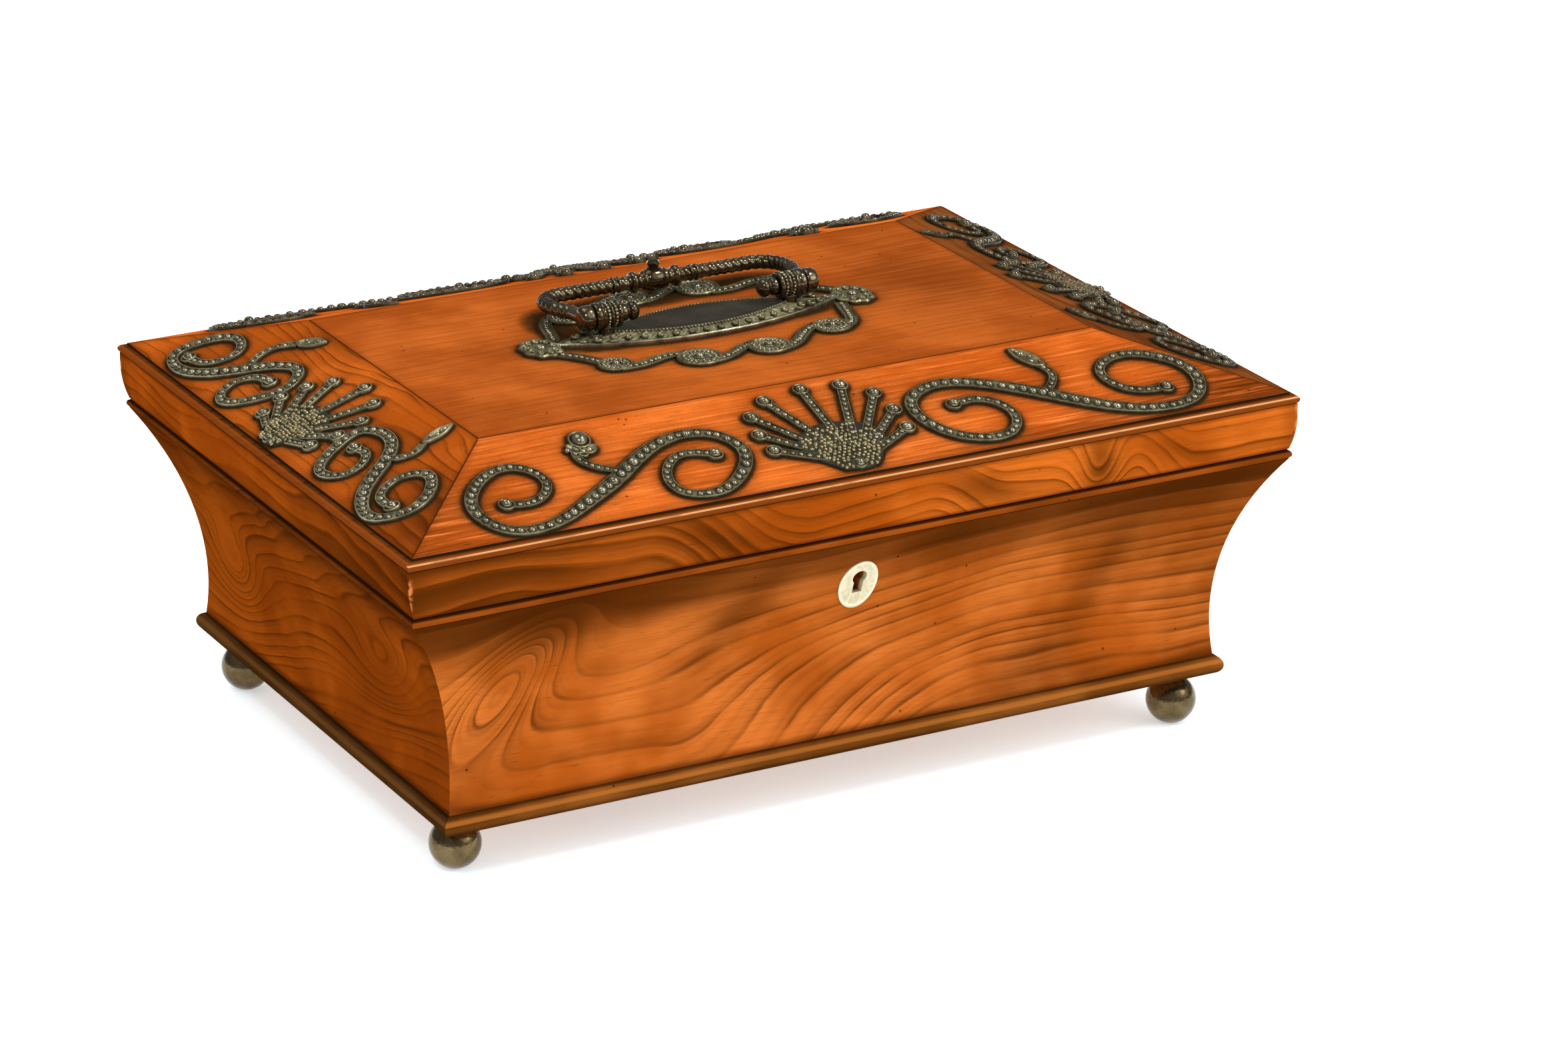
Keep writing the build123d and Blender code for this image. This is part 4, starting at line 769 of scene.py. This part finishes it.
front_left_scroll = [
    (-110.8, 18.1), (-101, 17.6), (-94.9, 26), (-101.5, 34.6), (-113.5, 31),
    (-121, 17), (-115, 6.6), (-101.7, 5.6), (-87.5, 12.3), (-74.6, 20.2),
    (-63.5, 28.3), (-50, 34.8), (-36.5, 32.9), (-31.3, 23.5), (-36.7, 12.7),
    (-48.5, 6.1), (-58.6, 10), (-57.6, 20.5), (-49, 26.4), (-40.4, 23.4),
]
front_left_stem = [(-71.7, 24), (-77, 27.6), (-80.6, 32.5), (-80.4, 36.6)]
front_right_scroll = [
    (41.7, 26), (50.5, 26.4), (57.4, 17.5), (53, 8.6), (41.5, 8.2),
    (30.6, 17.6), (29.2, 30.2), (39, 36.8), (53, 34.6), (66, 27.4),
    (78, 18.9), (90, 11), (106, 6.3), (118.8, 9.8), (122.8, 21),
    (115, 31.8), (102, 34.6), (94.3, 28), (98.5, 18.2), (110.6, 15.4),
]
front_right_stem = [(72.4, 23.6), (77.6, 28.4), (79.3, 33.2), (77.4, 37.4)]
front_shell_tips = [
    (-22.5, 19.8), (-23.2, 28.3), (-21.5, 37.3), (-13.8, 43.8), (-0.3, 46.3),
    (12.6, 45), (20.8, 38.4), (22.7, 28.8), (22.3, 19.3),
]
left_front_scroll = [
    (76.7, 12), (67.5, 12.4), (62.6, 20.5), (67.6, 27.2), (77.5, 25),
    (83.9, 14.6), (78, 5.8), (65.8, 7), (54.2, 16.2), (45, 26.6),
    (34, 30.3), (23.6, 25.8), (25.8, 16.2), (36.6, 6.9), (44.5, 12.4),
    (39.6, 20.8), (32.1, 20.2),
]
left_front_stem = [(48, 23.8), (52, 27.5), (52.8, 31.6), (50.4, 35.2)]
left_back_scroll = [
    (-34.6, 21.2), (-43, 19.4), (-46.4, 12), (-39.6, 6.2), (-29.6, 13.2),
    (-26.2, 23.8), (-33, 30.6), (-43, 27.4), (-53, 18.2), (-63, 9.8),
    (-75, 6), (-84.8, 9.6), (-83, 19.6), (-73, 27), (-64.4, 22.6),
    (-68.2, 13.6), (-77.5, 11.2),
]
left_back_stem = [(-51.6, 21.4), (-55.6, 27.4), (-54.6, 33.4), (-49.9, 38)]
left_shell_tips = [
    (16.9, 12), (19.6, 20.2), (18.3, 29), (11.6, 36.4), (-0.6, 39),
    (-14.4, 34.2), (-19.8, 27.4), (-21.5, 19.2), (-17.8, 11.2),
]

front_scrolls, front_shell, left_scrolls, left_shell = Shape(), Shape(), Shape(), Shape()
scroll(front_scrolls, front_left_scroll, front_left_stem, [(-44.6, 35.2, 1.3), (-82.2, 37.6, 0.9)])
scroll(front_scrolls, front_right_scroll, front_right_stem, [(48, 36.2, 1.2)])
scroll(left_scrolls, left_front_scroll, left_front_stem)
scroll(left_scrolls, left_back_scroll, left_back_stem)
cup_bud(front_scrolls, -76.4, 41.6, -0.25)
pod_bud(front_scrolls, 75.8, 42.2, 1, 0.55)
pod_bud(left_scrolls, 49, 41, 0.84, 0.18)
pod_bud(left_scrolls, -46.4, 41.4, 0.84, -0.94)
shell(front_shell, front_shell_tips, (-0.2, 7), 1, (-0.4, 6.6))
shell(left_shell, left_shell_tips, (-0.6, 6), 0.88, (-0.4, 5.6))
steel_set = [mount_dark, mount_stud, mount_grime, mount_grain]
lit_set = [lit_band, mount_stud, mount_grime, mount_grain]
shaded_set = [shaded_band, shaded_stud, mount_grime, shaded_grain]
# the left mounts take the lighter copy and the back and right ones the darker copies: painted highlight and
# painted shade
for side, matrix, flat_scrolls, flat_shell, metals in (
    ("front", slope_matrix("front"), front_scrolls, front_shell, steel_set),
    ("back", half_turn @ slope_matrix("front"), front_scrolls, front_shell, shaded_set),
    ("left", slope_matrix("left"), left_scrolls, left_shell, lit_set),
    ("right", half_turn @ slope_matrix("left"), left_scrolls, left_shell, shaded_set),
):
    for kind, flat in (("scroll_mounts", flat_scrolls), ("shell_mount", flat_shell)):
        mount = Shape()
        mount.turned(flat, matrix)
        mount.piece(f"{kind}_{side}_studded", "lid", "mount_steel", metals, [f"{kind}_{side}"])

# Handle plate: a rim, a fluted slope and a smooth raised oval

PLATE_FLUTE, PLATE_STUD = 3, 4


def lens_points(half_length, half_width, count):
    """Points round a pointed oval between two arcs, tip to tip and back."""
    radius = (half_length**2 + half_width**2) / (2 * half_width)
    swing = asin(half_length / radius)
    result = []
    for sign in (1, -1):
        for i in range(count):
            a = (-swing + 2 * swing * i / count) * sign
            result.append((radius * sin(a), sign * (radius * cos(a) - radius + half_width)))
    return result


def ringlet(shape, x, y, z, radius):
    """A raised ring round a hollow."""
    profile = ((1, -0.2), (1, 0.35), (0.84, 0.62), (0.66, 0.6), (0.52, 0.2), (0.3, 0.05), (0.15, 0.25))
    rings = [oval(x, y, z + level, radius * part, 16) for part, level in profile]
    shape.loft(rings, BAND, True, cap_end=True)


def palmette():
    """A nine-lobed rosette with a ringlet on each lobe and one bright boss."""
    shape = Shape()
    lobes, half_width, half_height = 9, 6.4, 8.5

    def point(a, part, level):
        lobe = 1 + 0.06 * cos(lobes * a) * (part > 0.5)
        ridge = 0.25 * cos(2 * lobes * a) if 0.5 < part < 0.9 else 0.0
        return half_width * part * lobe * cos(a), half_height * part * lobe * sin(a), level + ridge

    profile = ((1, 0), (1, 0.9), (0.93, 1.35), (0.82, 1.35), (0.72, 0.9), (0.35, 1.1))
    shape.rings(point, 72, profile, BAND, False, cap_end=True)
    for a in angles(lobes):
        ringlet(shape, 4.2 * cos(a), 5.6 * sin(a), 0.95, 1.25)
    dome(shape, 0, 0, 1, 1.7, 1.2, 14, PLATE_STUD)
    return shape


def handle_plate():
    shape = Shape()
    # Half length, half width, level and depth of the flutes, from the foot of the rim to the smooth top
    rim = [(50, 13.2, 0, 0), (50, 13.2, 0.9, 0), (49.7, 13.1, 1.4, 0), (48.6, 12.6, 1.6, 0),
           (48, 12.3, 1.5, 0), (47.4, 12.1, 1, 0)]
    slope = [(46.4, 11.8, 0.95, 0.1), (43.5, 11.3, 1.3, 0.5), (40.5, 10.8, 1.75, 0.55),
             (37.5, 10.3, 2.2, 0.5), (34.5, 9.8, 2.65, 0.3), (32.4, 9.4, 3, 0), (31.6, 9.2, 3.15, 0)]
    smooth_top = [(31, 9, 3.1, 0), (30.2, 8.7, 2.9, 0), (15, 4.5, 2.9, 0)]
    rings = []
    for length, width, level, flute in rim + slope + smooth_top:
        ring = []
        for i, (x, y) in enumerate(lens_points(length, width, 150)):
            wave = flute * (0.5 * cos(2 * pi * i / 5) + 0.2 * sin(2 * pi * i / 7 + length))
            ring.append((x, y, panel_z + level + wave - flute * 0.35))
        rings.append(ring)
    rim_end, slope_end = len(rim), len(rim) + len(slope)
    shape.loft(rings[:rim_end], PLATE_STUD, True)
    shape.loft(rings[rim_end - 1:slope_end], PLATE_FLUTE, False)
    shape.loft(rings[slope_end - 1:], STUD, True, cap_end=True)
    for x, y in lens_points(41, 10.75, 17):
        if abs(x) < 31.0:
            ringlet(shape, x, y, panel_z + 1.75, 1.15)
    for x, y in lens_points(32.6, 9.5, 60):
        if abs(x) < 31.5:
            dome(shape, x, y, panel_z + 2.75, 0.55, 0.6, 7, BAND)
    punched = ((37, 4.8, 1.7), (37, -4.8, 1.7), (41.2, 2.6, 1.5), (41.2, -2.6, 1.5), (36.2, 1.4, 1.3),
               (45.2, 0.6, 1.2), (32.6, -6.9, 1.4), (32.6, 6.9, 1.4))
    for sign in (-1, 1):
        for x, y, radius in punched:
            ringlet(shape, sign * x, sign * y, panel_z + 2.9 - 0.14 * (x - 32), radius)
        shape.turned(palmette(), shift(sign * 54.3, 0, panel_z))
    metals = [mount_dark, plate_smooth, mount_grime, plate_flute, mount_stud]
    shape.piece("handle_plate_fluted", "lid", "mount_steel", metals, ["handle_plate"])


def roundel(shape, x, y, radius):
    """A rosette: roped rim, a ring of beads and a central boss."""
    def point(a, part, level):
        rope = 0.13 * cos(20 * a + part * 9) if 0.8 < part < 0.99 else 0.0
        return x + radius * part * cos(a), y + radius * part * sin(a), level + rope

    profile = ((1, 0), (1, 0.75), (0.95, 1.2), (0.86, 1.2), (0.8, 0.75), (0.5, 0.9), (0.36, 0.8))
    shape.rings(point, 60, profile, BAND, False, cap_end=True)
    for part, size in ((0.69, 0.62), (0.46, 0.4)):
        for bx, by, z in oval(x, y, 0.7, part * radius, int(2 * pi * part * radius / (2.2 * size))):
            dome(shape, bx, by, z, size, 0.95 * size, 8)
    cup(shape, x, y, 2)


handle_plate()
ribbon_bands = [
    [(-51.5, -7.5), (-46.5, -14), (-43, -20.5)],
    [(-41, -28), (-32.5, -27.6), (-24, -24.8), (-17, -25)],
    [(-13.5, -35.4), (-6, -33.2), (1, -28.6), (6.5, -26.6)],
    [(10, -35.6), (17, -32.6), (24, -25.2), (31, -20.2)],
    [(36, -27.6), (41.8, -22.6), (45.2, -13), (47.5, -5)],
]
ribbon_roundels = [(-40.5, -24.2, 5.6), (-15, -30.6, 7.2), (8.6, -31.2, 6.9), (34.4, -23.8, 6.2)]
half_ribbon, ribbons = Shape(), Shape()
for points in ribbon_bands:
    strap(half_ribbon, points, 4.1, size=0.2, gap=2.4)
for x, y, radius in ribbon_roundels:
    roundel(half_ribbon, x, y, radius)
for angle in (0, pi):
    ribbons.turned(half_ribbon, shift(0, 0, panel_z) @ turn(angle, "Z"))
ribbons.piece("handle_ribbons_studded", "lid", "mount_steel", steel_set, ["handle_ribbons"])

# Handle posts, pivots and the swinging handle

post_x, pivot_x, eye_x = 32, 27.5, 39.0
bail_reach, bail_half, rest_tilt = 31, 41.6, radians(4)


def beaded_drum(shape, x, sign):
    """A pillar with a barrel across its top: rings, two rows of beads and a smooth outer end."""
    bead = Shape()
    barrel = lathe([
        (-4.5, 3), (-4.5, 3.9), (-4.3, 4.25), (-3.9, 4.35), (-3.4, 4.3), (-3.15, 3.85), (-3, 3.6),
        (-1.7, 3.6), (-1.55, 3.9), (-1.3, 4.15), (-0.9, 4.15), (-0.65, 3.9), (-0.5, 3.6), (0.8, 3.6),
        (0.95, 3.9), (1.2, 4.2), (1.6, 4.2), (1.8, 3.9), (2, 3.85), (2.3, 4.15), (3, 4.3), (3.9, 4.3),
        (4.35, 4.1), (4.5, 3.7), (4.5, 3),
    ], 48)
    dome(bead, 0, 0, 0, 0.56, 0.6, 8)
    for level in (-2.35, 0.15):
        for a in angles(20):
            barrel.turned(bead, turn(a, "Z") @ shift(3.55, 0, level) @ turn(pi / 2, "Y"))
    shape.turned(barrel, shift(x, 0, axis_z) @ turn(sign * pi / 2, "Y"))
    pillar = lathe([(128, 3.3), (129, 3.3), (129.6, 2.7), (130.6, 2.4), (132, 2.6), (134, 2.6)], 24)
    for part in (pillar, lathe([(117.7, 1.7), (127.9, 1.8)], 20)):
        shape.turned(part, shift(x, 0, 0))


posts, finials = Shape(), Shape()
for sign in (-1, 1):
    beaded_drum(posts, sign * post_x, sign)
posts.piece("handle_posts_beaded", "lid", "handle_steel", [handle_steel, mount_stud], ["handle_posts"])

head = lathe([
    (0.05, 2.3), (0.2, 2.7), (0.7, 2.85), (1.9, 2.8), (2.3, 2.6), (2.5, 2.1), (2.9, 1.9), (3.2, 2.1),
    (3.45, 2.6), (4, 2.95), (4.7, 3), (5.4, 2.8), (6, 2.3), (6.4, 1.7), (6.7, 1.3), (7, 0.6),
])
shank = lathe([(-13.1, 1.25), (0, 1.25)], 20)
for sign in (1, -1):
    for part in (head, shank):
        finials.turned(part, shift(sign * pivot_x, 0, axis_z) @ turn(-sign * pi / 2, "Y"))
finials.piece("handle_pivots_turned", "lid", "handle_steel", [handle_steel], ["handle_pivot_screws"])


def rounded_route(points, radii, step):
    """Places along straight runs joined by arcs."""
    places = [Vector(points[0])]
    for a, b, c, radius in zip(points, points[1:], points[2:], radii):
        a, b, c = Vector(a), Vector(b), Vector(c)
        into, out = (a - b).normalized(), (c - b).normalized()
        half_angle = into.angle(out) / 2
        centre = b + (into + out).normalized() * (radius / sin(half_angle))
        start, end = [b + way * (radius / tan(half_angle)) - centre for way in (into, out)]
        total = start.angle(end)
        count = max(3, int(radius * total / step))
        for i in range(count + 1):
            q = i / count
            places.append(centre + (start * sin((1 - q) * total) + end * sin(q * total)) / sin(total))
    places.append(Vector(points[-1]))
    dense = []
    for a, b in zip(places, places[1:]):
        count = max(1, int((b - a).length / step))
        dense += [a + (b - a) * (i / count) for i in range(count)]
    return dense + [places[-1]]


def twisted_bar(shape):
    """The bar of the handle, from eye to eye: plain at its ends and three-stranded between them."""
    right = [(eye_x, 0, 0), (eye_x, 9.5, 0), (bail_half, 17, 0), (bail_half, bail_reach, 0)]
    route = right + [(-x, y, z) for x, y, z in reversed(right)]
    places = rounded_route(route, [7, 7, 9, 9, 7, 7], 0.45)
    strands, lay_length = 3, 8.4
    rings = []
    travelled = 0.0
    for i, place in enumerate(places):
        before, after = places[max(0, i - 1)], places[min(len(places) - 1, i + 1)]
        side = (after - before).normalized().cross(Vector((0, 0, 1))).normalized()
        travelled += (place - before).length
        twisting = min(1, max(0, (place.y - 6) / 3))
        ring = []
        for a in angles(24):
            lay = abs(cos(strands / 2 * (a + travelled * 2 * pi / lay_length)))
            radius = 2.22 - 0.1 * twisting + twisting * (0.6 * lay**0.7 - 0.36)
            ring.append(place + side * (radius * cos(a)) + Vector((0, 0, radius * sin(a))))
        rings.append(ring)
    shape.loft(rings, 0, True, cap_start=True, cap_end=True)


def handle_bail():
    shape, tilted = Shape(), Shape()
    twisted_bar(shape)
    eye = lathe([
        (-2.2, 2.6), (-2.2, 3.7), (-2, 3.95), (-1, 4), (0.6, 3.95), (1.5, 3.6), (2, 2.9), (2.2, 1.8),
    ], 40)
    for sign in (-1, 1):
        shape.turned(eye, shift(sign * eye_x, 0, 0) @ turn(sign * pi / 2, "Y"))
        for place, radius in ((14.6, 2.75), (12.6, 2.7)):
            side = radius - 0.15
            ring = lathe([(-0.55, 2.2), (-0.4, side), (0, radius), (0.4, side), (0.55, 2.2)], 28)
            shape.turned(ring, shift(sign * place, bail_reach, 0) @ turn(pi / 2, "Y"))
    half = [
        (8.6, 2.1), (8.5, 2.9), (8.1, 3.3), (7.2, 3.4), (6.5, 3.1), (6.3, 2.5), (5.6, 2.3), (4.4, 2.35),
        (4.1, 2.9), (3.6, 3.1), (3.2, 2.8), (2.9, 3.2), (2.2, 3.5), (1.2, 3.68), (0, 3.7),
    ]
    middle = lathe([(-x, r) for x, r in half] + half[-2::-1])
    shape.turned(middle, shift(0, bail_reach, 0) @ turn(pi / 2, "Y"))
    knob_profile = [(2.9, 2.3), (3.6, 2.3), (3.9, 1.6), (4.3, 1.7), (5.3, 2.2), (6.1, 1.7), (6.5, 0.8)]
    knob = lathe(knob_profile, 8, False)
    shape.turned(knob, shift(0, bail_reach, 0))
    tilted.turned(shape, shift(0, 0, axis_z) @ turn(-rest_tilt, "X"))
    tilted.piece("handle_bail_twisted", "handle", "handle_steel", [handle_steel], ["handle_bail"])


handle_bail()

# Feet: turned balls with a ring under the base

foot_x, ball_radius, ball_z, ball_start, ball_end = 122.5, 8, 7.9, 0.14, 0.44
ball = []
for i in range(1, 25):
    a = -pi / 2 + ball_start + (pi - ball_start - ball_end) * i / 24
    ball.append((ball_z + ball_radius * sin(a), ball_radius * cos(a)))
foot = lathe([(0, 1.2)] + ball + [(15.5, 3.4), (16.6, 3.3), (17, 3.9), (17.4, 4.4), (17.95, 4.4)], 56)
for corner, x, y in (
    ("front_left", -foot_x, -77.2), ("front_right", foot_x, -84), ("back_left", -foot_x, 84),
    ("back_right", foot_x, 84),
):
    shape = Shape()
    shape.turned(foot, shift(x, y, 0))
    shape.piece(f"foot_{corner}_turned", "box", "foot_brass", [foot_brass], [f"foot_{corner}"])


# Soft pieces

def quilted_pad():
    """A silk panel stitched in diamonds, with a button at each crossing."""
    shape, button = Shape(), Shape()
    long_half, wide_half, top, drop, pitch = 119.3, 81.8, 110.1, 3.3, 27.2
    nx, ny = 150, 104
    rings = []
    for j in range(ny + 1):
        y = -wide_half + 2 * wide_half * j / ny
        ring = []
        for i in range(nx + 1):
            x = -long_half + 2 * long_half * i / nx
            fold = min(abs(sin(pi * (x + y) / pitch)), abs(sin(pi * (x - y) / pitch)))
            edge = min(long_half - abs(x), wide_half - abs(y))
            level = drop * (0.42 + 0.58 * fold**0.45) * min(1, (edge / 4.0 + 0.08)) ** 0.5
            ring.append((x, y, top - level))
        rings.append(ring)
    shape.loft(rings, 0, True, closed_ring=False)
    right, left = [ring[-1] for ring in rings], [ring[0] for ring in rings]
    rim = rings[0] + right[1:] + rings[-1][-2::-1] + left[-2:0:-1]
    flat_rim = [(x, y, top) for x, y, z in rim]
    shape.loft([flat_rim, rim], 0, False)
    shape.cap(flat_rim)
    dome(button, 0, 0, 0, 1.5, 0.9, 10, 0)
    for a in range(-8, 9):
        for b in range(-8, 9):
            x, y = (a + b) * pitch / 2, (a - b) * pitch / 2
            if abs(x) < long_half - 6 and abs(y) < wide_half - 6:
                shape.turned(button, shift(x, y, top - 0.9) @ turn(pi, "X"))
    pad = shape.piece("lid_pad_quilted", "lid", "lining_cloth", [silk], ["lid_lining_pad"])


def cushion():
    """A pincushion with a crown, a piped seam and one button that draws the top in."""
    shape = Shape()
    half_length, half_width, low, seam = 42.4, 28.4, 62.7, 12.2

    def point(a, part, level, pull=0):
        c, s = cos(a), sin(a)
        reach = part * (1 - 0.035 * cos(2 * a) ** 2) / (abs(c) ** 5 + abs(s) ** 5) ** 0.2
        return half_length * reach * c, half_width * reach * s, low + level + pull * cos(8 * a)

    profile = [(0.9, 0), (0.95, 1.2), (0.985, 4), (0.99, 8), (0.985, 10.4), (1, 11), (1, 11.7), (0.98, seam)]
    for part in (0.94, 0.86, 0.76, 0.64, 0.52, 0.4, 0.28, 0.18, 0.1, 0.05):
        height = seam + 7.4 * (1 - part**2.4) - 4.6 * max(0, 1 - part / 0.3) ** 1.5
        profile.append((part, height, 0.35 * (1 - part) * (part > 0.06)))
    shape.rings(point, 96, profile, cap_start=True, cap_end=True)
    dome(shape, 0, 0, low + 14.9, 2.6, 1.4, 16, 0)
    obj = shape.piece("pincushion_stuffed", "tray", "lining_cloth", [silk], ["pincushion"])


quilted_pad()
cushion()

# Camera, lights and floor

scene = bpy.context.scene


def stand(name, data, place=(0, 0, 0), towards=None, axis="-Z"):
    """Puts a camera, a light or a mesh into the scene, with one axis turned to a direction."""
    obj = bpy.data.objects.new(name, data)
    obj.location = place
    if towards:
        obj.rotation_euler = Vector(towards).to_track_quat(axis, "Y").to_euler()
    scene.collection.objects.link(obj)
    return obj


def camera():
    """The photograph's camera, fitted to the corners of the box."""
    data = bpy.data.cameras.new("camera")
    data.lens = 130.57
    data.sensor_width = 36.0
    data.clip_end = 20.0
    azimuth, elevation, roll = radians(-27.47), radians(20.55), radians(-0.61)
    right = Vector((cos(azimuth), sin(azimuth), 0))
    back = Vector((sin(azimuth) * cos(elevation), -cos(azimuth) * cos(elevation), sin(elevation)))
    up = back.cross(right)
    rolled = (right * cos(roll) + up * sin(roll), up * cos(roll) - right * sin(roll), back)
    obj = stand("camera", data)
    obj.matrix_world = Matrix(rolled).transposed().to_4x4()
    obj.location = (-0.7515, -1.50175, 0.69103)
    scene.camera = obj


def area(name, place, aim, size, power):
    data = bpy.data.lights.new(name, "AREA")
    data.size = size
    data.energy = power
    stand(name, data, place, Vector(aim) - Vector(place))


def sun(name, source, power, spread):
    data = bpy.data.lights.new(name, "SUN")
    data.energy = power
    data.angle = radians(spread)
    stand(name, data, towards=source, axis="Z")


def floor():
    mesh = bpy.data.meshes.new("floor")
    mesh.from_pydata([(-6, -6, 0), (6, -6, 0), (6, 6, 0), (-6, 6, 0)], [], [(0, 1, 2, 3)])
    s = Shader("floor")
    colour = s.mix(s.noise(s.place, 0.004), (0.66, 0.77, 0.83), (0.69, 0.79, 0.85))
    s.finish(Base_Color=colour, Roughness=0.7, Emission_Color=(1, 1, 1, 1), Emission_Strength=0.46)
    mesh.materials.append(s.mat)
    stand("floor", mesh)


def studio():
    """Soft light from all round; metal and polish see a dimmer room, with the lamps as bright spots."""
    world = bpy.data.worlds.new("world")
    n = Nodes(world)
    height = n.node("SeparateXYZ", {0: n.node("TexCoord", {}, "Generated")}, "Z")
    levels = {"From Min": -0.05, "From Max": 0.8, "To Min": 0.85, "To Max": 1.3}
    glow = n.node("MapRange", {"Value": height, **levels})
    dimmed = 1.0 - 0.78 * n.node("LightPath", {}, "Is Glossy Ray")
    n.plug(n.tree.nodes["Background"], {"Color": (1, 1, 1, 1), "Strength": glow * dimmed})
    scene.world = world


camera()
floor()
sun("key", (0.8, -1, 1), 0.9, 60)
area("window", (1.1, -1.2, 1), (0, 0, 0.06), 0.7, 5)
area("top", (-0.3, 0.5, 1.6), (0, 0, 0.1), 1, 7)
area("left_lamp", (-0.75, -0.9, 1.25), (0, 0, 0.1), 0.2, 6.5)
area("right_lamp", (0.62, -0.3, 1.35), (0, 0, 0.1), 0.2, 9)
studio()
scene.view_settings.view_transform = "Standard"
